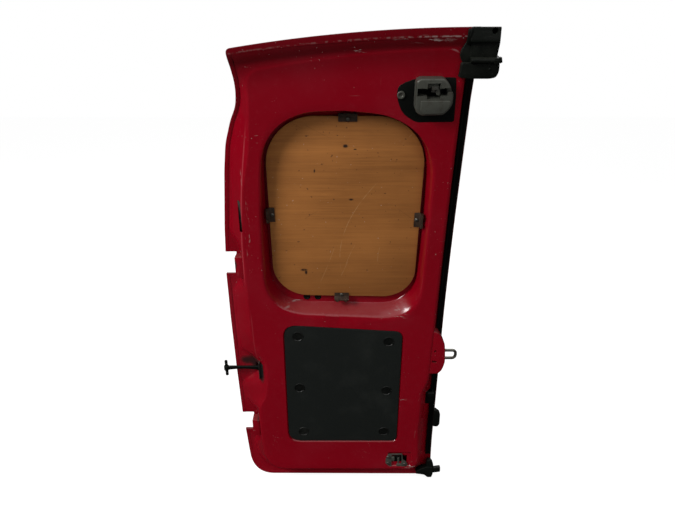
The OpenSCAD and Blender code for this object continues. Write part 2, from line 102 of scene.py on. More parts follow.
class Term:
    """A shader socket that can be written in Python arithmetic."""

    def __init__(self, recipe: Recipe, socket: bpy.types.NodeSocket) -> None:
        """Keeps the socket and the recipe whose nodes it belongs to."""
        self.recipe = recipe
        self.socket = socket

    def _math(self, operation: str, *values: Term | float) -> Term:
        """Adds one Math node."""
        return self.recipe.node("Math", {"operation": operation}, dict(enumerate(values)))

    def __add__(self, other: Term | float) -> Term:
        """Sum."""
        return self._math("ADD", self, other)

    def __radd__(self, other: float) -> Term:
        """Sum with a number on the left."""
        return self._math("ADD", other, self)

    def __sub__(self, other: Term | float) -> Term:
        """Difference."""
        return self._math("SUBTRACT", self, other)

    def __rsub__(self, other: float) -> Term:
        """Difference from a number on the left."""
        return self._math("SUBTRACT", other, self)

    def __mul__(self, other: Term | float) -> Term:
        """Product."""
        return self._math("MULTIPLY", self, other)

    def __truediv__(self, other: Term | float) -> Term:
        """Quotient."""
        return self._math("DIVIDE", self, other)

    def __abs__(self) -> Term:
        """Size without its sign."""
        return self._math("ABSOLUTE", self)

    def root(self) -> Term:
        """Square root."""
        return self._math("SQRT", self)

    def clamp(self) -> Term:
        """The value held between 0 and 1."""
        return self.recipe.node("Clamp", {}, {0: self})

    def between(self, low: float, high: float) -> Term:
        """A smooth step from 0 at low to 1 at high."""
        settings = {"interpolation_type": "SMOOTHSTEP"}
        return self.recipe.node("MapRange", settings, {0: self, 1: low, 2: high})

    def near(self, width: float) -> Term:
        """1 at zero, falling smoothly to 0 at a distance."""
        settings = {"interpolation_type": "SMOOTHSTEP"}
        return self.recipe.node("MapRange", settings, {0: abs(self), 1: width, 2: 0.0})

    def most(self, other: Term) -> Term:
        """The larger of two values."""
        return self._math("MAXIMUM", self, other)


Colour = Triple


class Recipe:
    """One material and the nodes that make it."""

    def __init__(self, name: str) -> None:
        """Starts an empty material with a Principled shader.

        Args:
            name: Name of the material.
        """
        self.material = bpy.data.materials.new(name)
        self.material.use_nodes = True
        self.tree = self.material.node_tree
        self.tree.nodes.clear()
        self.out = self.tree.nodes.new("ShaderNodeOutputMaterial")
        self.shader = self.tree.nodes.new("ShaderNodeBsdfPrincipled")
        self.tree.links.new(self.shader.outputs[0], self.out.inputs["Surface"])

    def node(
        self,
        kind: str,
        settings: dict[str, Any],
        inputs: dict[int | str, Any],
        output: int | str = 0,
    ) -> Term:
        """Adds a node, sets it and links it.

        Args:
            kind: Node type without its ShaderNode prefix.
            settings: Attributes of the node.
            inputs: Value or Term for each input, by index or name.
            output: Output to return.

        Returns:
            The chosen output.
        """
        made = self.tree.nodes.new("ShaderNode" + kind)
        for key, value in settings.items():
            setattr(made, key, value)
        for key, value in inputs.items():
            if isinstance(value, Term):
                self.tree.links.new(value.socket, made.inputs[key])
            else:
                made.inputs[key].default_value = value
        return Term(self, made.outputs[output])

    def place(self, scale: Colour = (1, 1, 1), turn: Colour = (0, 0, 0)) -> Term:
        """Object coordinates, stretched and turned."""
        seat = self.node("TexCoord", {}, {}, "Object")
        return self.node("Mapping", {}, {0: seat, 2: turn, 3: scale})

    def axes(self) -> tuple[Term, Term]:
        """Object X and Z in metres."""
        seat = self.node("TexCoord", {}, {}, "Object")
        return tuple(self.node("SeparateXYZ", {}, {0: seat}, axis) for axis in (0, 2))

    def blot(self, x: float, z: float, wide: float, high: float) -> Term:
        """Soft spot round a point, in millimetres.

        Args:
            x: Middle of the spot.
            z: Middle of the spot.
            wide: Half of its width.
            high: Half of its height.

        Returns:
            1 at the middle, falling to 0 at the rim.
        """
        across, up = self.axes()
        a, b = (across - x * MM) / (wide * MM), (up - z * MM) / (high * MM)
        return (a * a + b * b).root().near(1.0)

    def stroke(
        self, x: float, z: float, reach: float, lean: float, bow: float, width: float
    ) -> Term:
        """Thin line through a point, in millimetres.

        Args:
            x: Middle of the line.
            z: Middle of the line.
            reach: Half of its height.
            lean: Sideways run per height.
            bow: Sideways run at its ends from bending.
            width: Half of its width.

        Returns:
            1 on the line, falling to 0 beside it and at its ends.
        """
        across, up = self.axes()
        t = (up - z * MM) / (reach * MM)
        line = (across - x * MM) - t * (lean * reach * MM) - t * t * (bow * MM)
        return line.near(width * MM) * t.near(1.0).between(0.0, 0.3)

    def _strongest(self, draw: Callable[..., Term], count: int, marks: Marks) -> Term:
        """Largest value of several marks of a kind.

        Args:
            draw: Method that draws one mark.
            count: How many numbers it takes; one number more is the mark's strength.
            marks: The numbers of each mark.

        Returns:
            The largest value at each place.
        """
        terms = []
        for mark in marks:
            term = draw(*mark[:count])
            terms.append(term * mark[count] if len(mark) > count else term)
        return reduce(Term.most, terms)

    def blots(self, spots: Marks) -> Term:
        """Several soft spots, each as blot has it, with its strength if that isn't 1."""
        return self._strongest(self.blot, 4, spots)

    def strokes(self, lines: Marks) -> Term:
        """Several thin lines, each as stroke has it, with its strength if that isn't 1."""
        return self._strongest(self.stroke, 6, lines)

    def noise(self, where: Term, scale: float, detail: float = 4, rough: float = 0.5) -> Term:
        """Noise value from 0 to 1."""
        inputs = {"Vector": where, "Scale": scale, "Detail": detail, "Roughness": rough}
        return self.node("TexNoise", {}, inputs)

    def mix(self, amount: Term, low: Term | Colour, high: Term | Colour) -> Term:
        """Colour that runs from one to another.

        Args:
            amount: Share of the second colour.
            low: First colour.
            high: Second colour.

        Returns:
            The mixed colour.
        """
        values: dict[int | str, Any] = {0: amount}
        for key, value in ((6, low), (7, high)):
            values[key] = value if isinstance(value, Term) else (*value, 1.0)
        return self.node("Mix", {"data_type": "RGBA"}, values, 2)

    def up(self) -> Term:
        """How far the surface faces up, from -1 to 1."""
        normal = self.node("NewGeometry", {}, {}, "Normal")
        return self.node("SeparateXYZ", {}, {0: normal}, 2)

    def back(self) -> Term:
        """How much the surface faces the outer side, from -1 to 1."""
        normal = self.node("NewGeometry", {}, {}, "Normal")
        return self.node("SeparateXYZ", {}, {0: normal}, 1)

    def bump(self, height: Term, strength: float, depth: float) -> Term:
        """Bump normal from a height."""
        inputs = {"Height": height, "Strength": strength, "Distance": depth}
        return self.node("Bump", {}, inputs)

    def set(self, **sockets: Any) -> Recipe:
        """Sets or links inputs of the shader.

        Args:
            sockets: Term, number or colour for each input, with underscores for spaces.

        Returns:
            The recipe itself.
        """
        for name, value in sockets.items():
            socket = self.shader.inputs[name.replace("_", " ")]
            if isinstance(value, Term):
                self.tree.links.new(value.socket, socket)
            elif isinstance(value, tuple) and len(value) == 3:
                socket.default_value = (*value, 1.0)
            else:
                socket.default_value = value
        return self


@dataclass(frozen=True)
class RedPaint:
    """Glossy red body paint with haze, dust on ledges, scratches and chips, painted shade under the
    top hem and a painted highlight along the ridge.
    """

    red: Colour = (0.222, 0.0008, 0.0072)
    worn: Colour = (0.31, 0.026, 0.046)
    shade: Colour = (0.020, 0.0010, 0.0012)
    # Pale red of the painted highlight along the ridge.
    ridge_highlight_red: Colour = (0.42, 0.075, 0.090)
    dust: Colour = (0.26, 0.17, 0.15)
    bare: Colour = (0.36, 0.30, 0.28)
    grease: Colour = (0.012, 0.008, 0.007)
    top_start: float = 34.0
    top_width: float = 468.0
    top_foot: float = 493.0
    top_rise: float = 38.0
    top_bow: float = 36.0
    hem_drop: float = 7.0
    ridge_painted_highlight: Marks = ((30, 150, 230, 0.091, 13, 2.6), (32, -230, 130, -0.02, 0, 2.0, 0.6))
    flat_scuffs: Marks = (
        (139, -109, 34, 9), (397, -132, 34, 22), (455, -640, 40, 40), (415, 510, 80, 9),
        (290, 490, 40, 7), (84, 322, 12, 26, 0.5), (425, -397, 26, 10), (123, -26, 30, 34),
    )
    upright_scuffs: Marks = ((26, -148, 5, 16), (470, -560, 9, 100), (40, 130, 9, 190))
    strap_grease: Marks = ((16, -294, 62, 30), (44, -325, 16, 40, 0.9), (30, -306, 40, 20))
    notch_grease: Marks = ((2, 10, 6, 26), (24, -470, 6, 40), (-8, 150, 6, 60, 0.6))

    def build(self, name: str) -> bpy.types.Material:
        """Makes the material.

        Args:
            name: Name of the material.

        Returns:
            The paint, with its marks on the inner side alone.
        """
        r = Recipe(name)
        flat = r.place()
        cloud = r.noise(flat, 5.0, 3)
        fine = r.noise(flat, 90.0, 5, 0.65)
        haze = (cloud.between(0.44, 0.8) * 0.5 + fine.between(0.5, 0.85) * 0.4) * 0.3
        streak = r.noise(r.place((5, 5, 330), (0.0, 0.45, 0.0)), 1.0, 2)
        streak2 = r.noise(r.place((290, 5, 7), (0.0, -0.25, 0.0)), 1.0, 2)
        patch = r.noise(flat, 13.0, 2).between(0.55, 0.66)
        scratch = (streak.between(0.745, 0.79).most(streak2.between(0.75, 0.79)) * patch).clamp()
        speck = r.noise(flat, 300.0, 1).between(0.75, 0.77)
        speck *= r.noise(flat, 17.0, 2).between(0.52, 0.62)
        inner = 1 - r.back().between(0.05, 0.35)
        scuffs = self._scuffs(r) * inner
        settle = r.up().between(0.4, 0.95) * (0.3 + fine * 0.5)
        grease = self._grease(r, flat) * inner
        tone = r.mix(haze, self.red, self.worn)
        tone = r.mix(settle * 0.22, tone, self.dust)
        # Painted shade under the top hem; rim is the hem's scuffed edge.
        tone, rim = self._top_band(r, tone, fine, inner)
        scuffs = scuffs.most(rim)
        # Painted highlight: a pale line along the hinge-side ridge, mixed toward a pale red.
        ridge = r.strokes(self.ridge_painted_highlight) * inner
        tone = r.mix(ridge * (0.2 + cloud * 0.4), tone, self.ridge_highlight_red)
        tone = r.mix((scratch * 0.55).most(speck * 0.7).most(scuffs * 0.75), tone, self.bare)
        tone = r.mix(grease, tone, self.grease)
        rough = 0.16 + haze * 0.7 + settle * 0.25 + scratch * 0.25 + grease * 0.3
        r.set(
            Base_Color=tone, Roughness=rough.clamp(), Specular_IOR_Level=0.36, Coat_Weight=0.3,
            Coat_Roughness=0.09, Normal=r.bump(r.noise(flat, 420.0, 2), 0.035, 0.0004),
        )
        return r.material

    def _top_band(self, r: Recipe, tone: Term, fine: Term, inner: Term) -> tuple[Term, Term]:
        """Painted shade in the hollow under the top hem and, fainter, below it, and the hem's
        scuffed lower edge.

        Args:
            r: Recipe of the paint.
            tone: Colour so far.
            fine: Fine noise that breaks the scuffed edge up.
            inner: 1 on the inner side of the door, 0 on its outer side.

        Returns:
            The colour darkened by the painted shade, and how far the hem's edge is scuffed bare.
        """
        across, up = r.axes()
        x, z = across * PER_METRE, up * PER_METRE
        t = ((x - self.top_start) / self.top_width).clamp()
        gap = self.top_foot + t * self.top_rise + t * (1 - t) * self.top_bow - z
        # Painted shade: the hollow below the hem, and more faintly the band below it, are mixed
        # toward a near-black red.
        hollow = (gap - t * self.hem_drop).between(8.0, 13.0) * (1 - gap.between(28.0, 44.0))
        soft = (1 - gap.between(30.0, 92.0)) * 0.42
        hem = (gap - t * self.hem_drop - 9.5).near(2.4) * fine.between(0.44, 0.58)
        tone = r.mix(((hollow * 0.62).most(soft)).clamp() * inner, tone, self.shade)
        return tone, hem * inner * (0.25 + t.between(0.55, 0.9) * 0.5)

    def _scuffs(self, r: Recipe) -> Term:
        """Scuffed places: below the board, on the recess's lower corners and along the top.

        Args:
            r: Recipe of the paint.

        Returns:
            How far the paint is scuffed.
        """
        ragged = r.noise(r.place((34, 34, 210)), 1.0, 5, 0.7).between(0.56, 0.66)
        upright = r.noise(r.place((190, 34, 30), (0, 0.3, 0)), 1.0, 5, 0.7).between(0.58, 0.68)
        marks = (r.blots(self.flat_scuffs) * ragged).most(r.blots(self.upright_scuffs) * upright)
        return (marks * 1.4).clamp()

    def _grease(self, r: Recipe, flat: Term) -> Term:
        """Old grease round the check strap and in the hinge notches.

        Args:
            r: Recipe of the paint.
            flat: Object coordinates.

        Returns:
            How thick the grease lies.
        """
        smear = r.noise(flat, 34.0, 4, 0.6)
        spots = r.blots(self.strap_grease) + r.blots(self.notch_grease) * 0.7
        return (spots * (0.45 + smear * 1.1)).between(0.25, 0.8) * 0.9


@dataclass(frozen=True)
class Plywood:
    """Varnished plywood with its grain running across the door."""

    light: Colour = (0.405, 0.155, 0.036)
    dark: Colour = (0.215, 0.078, 0.017)
    mark: Colour = (0.022, 0.012, 0.007)
    pale: Colour = (0.50, 0.30, 0.13)
    dust: Colour = (0.55, 0.48, 0.38)
    shaded: Marks = ((263, -80, 260, 150, 0.35),)
    stains: Marks = (
        (165, -13, 12, 5), (170, -20, 5, 8), (278, 173, 8, 3.5), (264, 297, 8, 6),
        (285, 290, 5, 2), (196, 241, 2.5, 7),
    )
    scratches: Marks = (
        (267, 102, 140, 0.36, 45, 1.1), (224, 2, 62, 0.36, -2, 0.8), (277, 30, 36, 0.4, 2, 0.7),
        (345, 30, 26, 0.1, 2, 0.7), (264, -10, 26, 0.4, 0, 0.8), (396, 312, 14, 0.9, 0, 0.9),
    )
    cracks: Marks = (
        (216, 322, 30, -2.0, 6, 1.0), (184, 134, 13, 1.5, 3, 0.8),
        (405, 136, 16, -1.4, 0, 0.9), (150, 348, 18, -1.6, 0, 0.8),
    )

    def build(self, name: str) -> bpy.types.Material:
        """Makes the material.

        Args:
            name: Name of the material.

        Returns:
            The varnished board's finish.
        """
        r = Recipe(name)
        flat = r.place()
        broad = r.noise(r.place((1.6, 1, 30)), 1.0, 3, 0.6)
        grain = r.noise(r.place((6, 3, 230)), 1.0, 5, 0.7)
        pore = r.noise(r.place((30, 5, 950)), 1.0, 2)
        cloud = r.noise(flat, 5.0, 4)
        amount = (broad * 0.5 + grain * 0.5 + cloud * 0.5 - 0.25).between(0.2, 0.8)
        tone = r.mix(amount, self.dark, self.light)
        tone = r.mix(pore.between(0.6, 0.75) * 0.4, tone, self.dark)
        tone = r.mix(r.blots(self.shaded), tone, self.dark)
        speck = r.noise(flat, 130.0, 1).between(0.735, 0.76)
        ragged = r.noise(flat, 160.0, 4, 0.7).between(0.32, 0.5)
        stain = (r.blots(self.stains) * ragged * 1.6).clamp().most(speck * 0.6)
        tone = r.mix(stain, tone, self.mark)
        broken = r.noise(r.place((30, 30, 60)), 1.0, 3).between(0.38, 0.55)
        tone = r.mix(r.strokes(self.scratches) * broken * 0.55, tone, self.pale)
        tone = r.mix(r.strokes(self.cracks) * broken * 0.6, tone, self.mark)
        dust = r.noise(flat, 210.0, 2).between(0.74, 0.77) * 0.6
        tone = r.mix(dust, tone, self.dust)
        r.set(
            Base_Color=tone, Roughness=0.48 + grain * 0.2, Coat_Weight=0.06, Coat_Roughness=0.35,
            Specular_IOR_Level=0.2, Normal=r.bump(grain + pore * 0.4, 0.2, 0.0004),
        )
        return r.material


@dataclass(frozen=True)
class Moulded:
    """Black plastic or rubber with a fine grain and a little dust."""

    base: Colour = (0.0085, 0.0105, 0.0092)
    dust: Colour = (0.062, 0.064, 0.056)
    grain: float = 620.0
    relief: float = 0.35
    rough: float = 0.5
    dusty: float = 0.5
    gloss: float = 0.35
    marks: Marks = ()

    def build(self, name: str) -> bpy.types.Material:
        """Makes the material.

        Args:
            name: Name of the material.

        Returns:
            The grained black finish.
        """
        r = Recipe(name)
        flat = r.place()
        pattern = {"Vector": flat, "Scale": self.grain}
        cells = r.node("TexVoronoi", {"feature": "SMOOTH_F1"}, pattern)
        film = r.noise(flat, 11.0, 6, 0.65).between(0.48, 0.78)
        speck = r.noise(flat, 300.0, 1).between(0.70, 0.75)
        rub = r.noise(r.place((150, 6, 9), (0, 0.7, 0)), 1.0, 2).between(0.74, 0.79)
        rub = rub.most(r.noise(r.place((8, 6, 190), (0, 0.2, 0)), 1.0, 2).between(0.74, 0.79))
        for mark in self.marks:
            rub = rub.most(r.stroke(*mark) * film.between(0.1, 0.5))
        veil = (film * 0.25 + speck * 0.4 + rub * 0.3 + r.up().between(0.5, 1.0) * 0.3) * self.dusty
        r.set(
            Base_Color=r.mix(veil.clamp(), self.base, self.dust),
            Roughness=(self.rough + veil * 0.35).clamp(), Specular_IOR_Level=self.gloss,
            Normal=r.bump(cells, self.relief, 0.0005),
        )
        return r.material


@dataclass(frozen=True)
class Metal:
    """Worn steel, bare, plated or thinly painted."""

    base: Colour = (0.17, 0.165, 0.145)
    stain: Colour = (0.06, 0.045, 0.03)
    metallic: float = 0.85
    rough: float = 0.42

    def build(self, name: str) -> bpy.types.Material:
        """Makes the material.

        Args:
            name: Name of the material.

        Returns:
            The stained metal.
        """
        r = Recipe(name)
        flat = r.place()
        film = r.noise(flat, 70.0, 5, 0.6)
        pit = r.noise(flat, 380.0, 2).between(0.62, 0.7)
        stain = (film.between(0.45, 0.75) * 0.6 + pit * 0.4).clamp()
        r.set(
            Base_Color=r.mix(stain, self.base, self.stain), Metallic=self.metallic,
            Roughness=(self.rough + stain * 0.25).clamp(),
            Normal=r.bump(film + pit * 0.3, 0.12, 0.0004),
        )
        return r.material


@dataclass(frozen=True)
class TintedPane:
    """Nearly opaque dark glass."""

    tint: Colour = (0.006, 0.007, 0.008)
    film: Colour = (0.05, 0.05, 0.048)

    def build(self, name: str) -> bpy.types.Material:
        """Makes the material.

        Args:
            name: Name of the material.

        Returns:
            The dark pane's finish.
        """
        r = Recipe(name)
        film = r.noise(r.place(), 9.0, 5, 0.6).between(0.4, 0.8)
        r.set(
            Base_Color=r.mix(film * 0.25, self.tint, self.film),
            Roughness=0.06 + film * 0.2, Coat_Weight=0.6,
        )
        return r.material


@dataclass
class Looks:
    """The finished materials, one per kind of surface."""

    paint: bpy.types.Material = field(init=False)
    wood: bpy.types.Material = field(init=False)
    cover: bpy.types.Material = field(init=False)
    rubber: bpy.types.Material = field(init=False)
    steel: bpy.types.Material = field(init=False)
    latch: bpy.types.Material = field(init=False)
    cap: bpy.types.Material = field(init=False)
    cup: bpy.types.Material = field(init=False)
    grime: bpy.types.Material = field(init=False)
    clip: bpy.types.Material = field(init=False)
    pane: bpy.types.Material = field(init=False)
    cover_scratches: Marks = (
        (222, -325, 46, -3.6, 6, 0.7), (296, -352, 30, -0.5, 3, 0.7), (190, -372, 22, -2.0, 0, 0.6),
    )

    def build(self) -> Looks:
        """Makes every material.

        Returns:
            The looks themselves.
        """
        self.paint = RedPaint().build("red_body_paint")
        self.wood = Plywood().build("varnished_plywood")
        self.cover = Moulded(marks=self.cover_scratches).build("grained_black_plastic")
        self.rubber = Moulded(
            base=(0.0028, 0.0036, 0.0028), dust=(0.035, 0.038, 0.032), grain=1500.0, relief=0.08,
            rough=0.5, dusty=0.25, gloss=0.14,
        ).build("black_rubber")
        self.cap = Moulded(
            base=(0.0030, 0.0040, 0.0028), dust=(0.060, 0.062, 0.050), grain=1500.0, relief=0.1,
            rough=0.48, dusty=0.45, gloss=0.14,
        ).build("dusty_black_rubber")
        # Well cups: a darker black than the cover as painted shade in the wells, and a heavy dust
        # veil that is partly real dust and partly a painted highlight on their rims.
        self.cup = Moulded(
            base=(0.0035, 0.0040, 0.0034), dust=(0.075, 0.078, 0.066), grain=900.0, relief=0.2,
            rough=0.36, dusty=0.9,
        ).build("well_cup_painted_shade_plastic")
        self.grime = Moulded(
            base=(0.012, 0.0075, 0.0055), dust=(0.11, 0.085, 0.062), grain=900.0, relief=0.2,
            rough=0.6, dusty=1.4,
        ).build("grimy_rubber")
        self.steel = Metal().build("worn_bare_steel")
        self.latch = Metal(
            base=(0.072, 0.074, 0.060), stain=(0.036, 0.029, 0.021), metallic=0.3, rough=0.46
        ).build("dull_latch_steel")
        self.clip = Metal(
            base=(0.055, 0.032, 0.020), stain=(0.016, 0.009, 0.006), metallic=0.3, rough=0.45
        ).build("bronze_brown_steel")
        self.pane = TintedPane().build("dark_pane")
        return self


# ---------------------------------------------------------------- the door's own form


def reading(table: Table, z: float) -> float:
    """Reads a table, straight between its entries.

    Args:
        table: Pairs of a height and a value, from the lowest height up.
        z: Height.

    Returns:
        The value at z.
    """
    if z <= table[0][0]:
        return table[0][1]
    for (z0, v0), (z1, v1) in zip(table, table[1:]):
        if z <= z1:
            return v0 + (v1 - v0) * (z - z0) / (z1 - z0)
    return table[-1][1]


def eased(table: Table, z: float, reach: float = 20.0, steps: int = 8) -> float:
    """Reads a table with its corners rounded off.

    Args:
        table: Pairs of a height and a value.
        z: Height.
        reach: Distance on each side that the value is averaged over.
        steps: Readings on each side.

    Returns:
        The value at z.
    """
    total = weight = 0.0
    for i in range(-steps, steps + 1):
        share = 1.0 - abs(i) / (steps + 1)
        total += share * reading(table, z + reach * i / steps)
        weight += share
    return total / weight


def blended(a: Sequence[Vector], b: Sequence[Vector], t: float) -> list[Vector]:
    """Loop between two loops."""
    return [p.lerp(q, t) for p, q in zip(a, b)]


def bent(a: Vector, b: Vector, c: Vector, t: float) -> Vector:
    """Point of a curve that leaves a toward b and ends at c."""
    return a * (1 - t) ** 2 + b * 2 * t * (1 - t) + c * t * t


def placed(spot: Vector, tilt: float = 0.0) -> Matrix:
    """Matrix from millimetres round a spot to the frame, tilted round X."""
    return Matrix.Translation(spot) @ Matrix.Rotation(tilt, 4, "X") @ Matrix.Scale(MM, 4)


@dataclass(frozen=True)
class DoorForm:
    """The door's shape in millimetres, as the solids have it, and its place in the frame."""

    height: float = 1223.0
    depth: float = 48.0
    lean: float = 78.0
    tuck: float = 20.0
    hem: float = 9.0
    hem_height: float = 5.5
    lean_from: float = 500.0
    lean_power: float = 1.6
    tuck_to: float = 150.0
    hinges: tuple[tuple[str, float, float], ...] = (
        ("upper", -247.0, 692.0), ("lower", -239.0, 188.0),
    )
    pad_height: float = 10.0
    pad_size: Triple = (20.0, 28.0, 54.0)
    sag: float = 9.0
    crest: float = 46.5
    top_start: float = -213.0
    top_width: float = 468.0
    top_foot: float = 1185.0
    top_rise: float = 38.0
    climb_from: float = 170.0
    climb_over: float = 145.0
    skin_climb: float = 125.0
    heart: Point = (12.0, 625.0)
    curl: Table = ((0, 9.6), (15, 9.2), (19, 8.4), (35, 2.0), (60, 0.6), (95, 0.0))
    out_l: Table = (
        (4, -246), (50, -256), (100, -262), (214, -271), (370, -276), (530, -279), (660, -278),
        (787, -269), (927, -254), (993, -244), (1044, -227), (1072, -211), (1103, -205),
        (1127, -204), (1148, -207), (1185, -213),
    )
    out_r: Table = ((2, 277), (1060, 277), (1120, 273), (1165, 268), (1190, 263), (1223, 255))
    wall_l: Table = (
        (30, -226), (88, -240), (123, -240), (151, -226), (230, -226), (262, -252), (330, -260),
        (358, -222), (412, -222), (430, -258), (495, -263), (620, -262), (650, -240), (738, -236),
        (775, -254), (860, -244), (978, -231), (1031, -218), (1071, -200), (1103, -194),
        (1163, -195),
    )
    wall_r: Table = ((30, 258), (1040, 257), (1085, 254), (1134, 250), (1193, 246))
    face_l: Table = (
        (52, -205), (104, -205), (138, -213), (236, -216), (273, -215), (300, -198), (352, -190),
        (418, -191), (463, -214), (494, -225), (621, -225), (772, -224), (891, -213),
        (986, -191), (1070, -183), (1106, -181), (1146, -186),
    )
    face_r: Table = (
        (52, 232), (114, 232), (192, 227), (236, 229), (282, 229), (313, 227), (350, 240),
        (370, 244), (512, 247), (842, 248), (1130, 248), (1188, 243),
    )
    rim_l: Table = (
        (566, -172), (650, -178), (713, -179), (847, -174), (930, -168), (1000, -160), (1049, -154),
    )
    rim_r: Table = ((547, 204), (635, 207), (719, 208), (835, 209), (942, 208), (1036, 190))
    floor_l: Table = (
        (584, -158), (640, -164), (800, -166), (930, -163), (1000, -160), (1044, -152),
    )
    floor_r: Table = ((576, 184), (640, 194), (800, 198), (930, 196), (1040, 184))
    window_sag: float = 20.0

    def curve(self, z: float) -> float:
        """Depth of the door's curve: it leans in toward the top and tucks in at the bottom.

        Args:
            z: Height on the door.

        Returns:
            y of the skin's outside.
        """
        y = 0.0
        if z > self.lean_from:
            share = (z - self.lean_from) / (self.height - self.lean_from)
            y -= self.lean * share ** self.lean_power
        if z < self.tuck_to:
            y -= self.tuck * ((self.tuck_to - z) / self.tuck_to) ** 2
        return y

    def shift(self) -> Vector:
        """Move from the drawing's origin to the frame's, at the upper hinge pad."""
        _, x, z = self.hinges[0]
        return Vector((-x, self.pad_height + self.pad_size[1] / 2 - self.curve(z), -z))

    def at(self, x: float, z: float, h: float) -> Vector:
        """Point in the frame, in metres, at a height h above the skin."""
        return (Vector((x, self.curve(z) - h, z)) + self.shift()) * MM

    def below_top(self, x: float, z: float) -> float:
        """Distance of a point below the door's bowed top edge."""
        t = min(max((x - self.top_start) / self.top_width, 0.0), 1.0)
        return self.top_foot + self.top_rise * t + self.sag * 4 * t * (1 - t) - z

    def lifted(self, loop: Sequence[Vector], h: float, base: float | None = None) -> list[Vector]:
        """Loop at a height; near the top it curls toward the cabin and climbs to the inner face.

        Args:
            loop: Points in x and z.
            h: Height above the skin.
            base: Height that the climb starts from, for another side of the same sheet.

        Returns:
            The points in the frame.
        """
        points = []
        for p in loop:
            gap = self.below_top(p.x, p.y)
            t = min(max((self.climb_from - gap) / self.climb_over, 0.0), 1.0)
            start = h if base is None else base
            climb = max(0.0, self.crest - start) * t * t * (3 - 2 * t)
            points.append(self.at(p.x, p.y, h + self._curl(gap) + climb))
        return points

    def skinned(self, loop: Sequence[Vector], h: float) -> list[Vector]:
        """Loop of the outer skin, which sweeps in below the top edge.

        Args:
            loop: Points in x and z.
            h: Height above the skin's outside.

        Returns:
            The points in the frame.
        """
        points = []
        for p in loop:
            gap = self.below_top(p.x, p.y)
            climb = (self.crest - self.hem_height) * max(0.0, 1 - gap / self.skin_climb) ** 2
            points.append(self.at(p.x, p.y, h + self._curl(gap) + climb))
        return points

    def _curl(self, gap: float) -> float:
        """Depth of the curl at a distance below the top edge."""
        return eased(self.curl, gap, reach=3.0)

    def seat(self, x: float, z: float, h: float) -> Matrix:
        """Seat for a local drawing on the inner side.

        Args:
            x: Place of the drawing's origin.
            z: Place of the drawing's origin.
            h: Height of the origin above the skin.

        Returns:
            Matrix from millimetres round that place to the frame, along the door's slope.
        """
        slope = (self.curve(z + 1) - self.curve(z - 1)) / 2
        return placed(self.at(x, z, h), math.atan(-slope))

    def frame(self) -> Matrix:
        """Matrix from the drawing in millimetres to the frame."""
        return placed(self.shift() * MM)

    def ring(
        self, left: Table, right: Table, radius: float, sag: float, inset: float,
        heel: float = 0.0, drop: float = 0.0, counts: tuple[int, int, int] = (150, 14, 80),
    ) -> list[Vector]:
        """Loop of points in x and z between a left and a right outline, with rounded corners.

        Args:
            left: x of the left side against height.
            right: x of the right side against height.
            radius: Corner radius.
            sag: Rise of the top edge's middle.
            inset: Distance that the loop lies inside the outlines.
            heel: Corner radius at the bottom left, if it's larger.
            drop: Further distance that the top's right end lies inside.
            counts: Points on each side, in each corner and across the top or the bottom.

        Returns:
            Points up the left side, across the top, down the right side and back.
        """
        sides, corner, across = counts

        def on_left(z: float) -> Vector:
            """Point of the left side."""
            return Vector((eased(left, z) + inset, z))

        def on_right(z: float) -> Vector:
            """Point of the right side."""
            return Vector((eased(right, z) - inset, z))

        def between(a: Vector, b: Vector, t: float, rise: float) -> Vector:
            """Point of the top or the bottom edge, which bows by a rise."""
            return a.lerp(b, t) + Vector((0, rise * 4 * t * (1 - t)))

        tl, tr = on_left(left[-1][0] - inset), on_right(right[-1][0] - inset - drop)
        sag -= drop / 3
        bl, br = on_left(left[0][0] + inset), on_right(right[0][0] + inset)
        tla, tra = on_left(tl.y - radius), on_right(tr.y - radius)
        heel = max(heel, radius)
        bla, bra = on_left(bl.y + heel), on_right(br.y + radius)
        top, low = radius / (tr.x - tl.x), radius / (br.x - bl.x)
        tlb, trb = between(tl, tr, top, sag), between(tl, tr, 1 - top, sag)
        far = heel / (br.x - bl.x)
        blb, brb = between(bl, br, far, 0), between(bl, br, 1 - low, 0)
        turn = [i / (corner + 1) for i in range(1, corner + 1)]
        loop = [on_left(bla.y + (tla.y - bla.y) * i / sides) for i in range(sides + 1)]
        loop += [bent(tla, tl, tlb, t) for t in turn]
        loop += [between(tl, tr, top + (1 - 2 * top) * i / across, sag) for i in range(across + 1)]
        loop += [bent(trb, tr, tra, t) for t in turn]
        loop += [on_right(tra.y + (bra.y - tra.y) * i / sides) for i in range(sides + 1)]
        loop += [bent(bra, br, brb, t) for t in turn]
        loop += [between(br, bl, low + (1 - low - far) * i / across, 0) for i in range(across + 1)]
        loop += [bent(blb, bl, bla, t) for t in turn]
        return loop

    def facing(self, loop: Sequence[Vector], ring: Sequence[Vector]) -> list[Vector]:
        """Points of a ring round the window, each in the direction of a loop's point.

        Args:
            loop: Loop that runs the same way round.
            ring: Ring that is convex round the window's middle.

        Returns:
            As many points as the loop has.
        """
        across, up = self.heart

        def turns(points: Sequence[Vector]) -> list[float]:
            """Direction of each point, always falling from one to the next.

            Args:
                points: Points in x and z.

            Returns:
                Angles round the window's middle.
            """
            found: list[float] = []
            for p in points:
                angle = math.atan2(p.y - up, p.x - across)
                if found:
                    angle += math.tau * round((found[-1] - angle) / math.tau)
                    angle = min(angle, found[-1] - 1e-4)
                found.append(angle)
            return found

        ends = [*ring, ring[0]]
        own = turns(ends)
        own[-1] = own[0] - math.tau
        points = []
        for angle in turns(loop):
            while angle > own[0]:
                angle -= math.tau
            while angle < own[-1]:
                angle += math.tau
            i = next(k for k in range(1, len(own)) if own[k] <= angle)
            share = (own[i - 1] - angle) / max(own[i - 1] - own[i], 1e-9)
            points.append(ends[i - 1].lerp(ends[i], share))
        return points


# ---------------------------------------------------------------- modelling moves


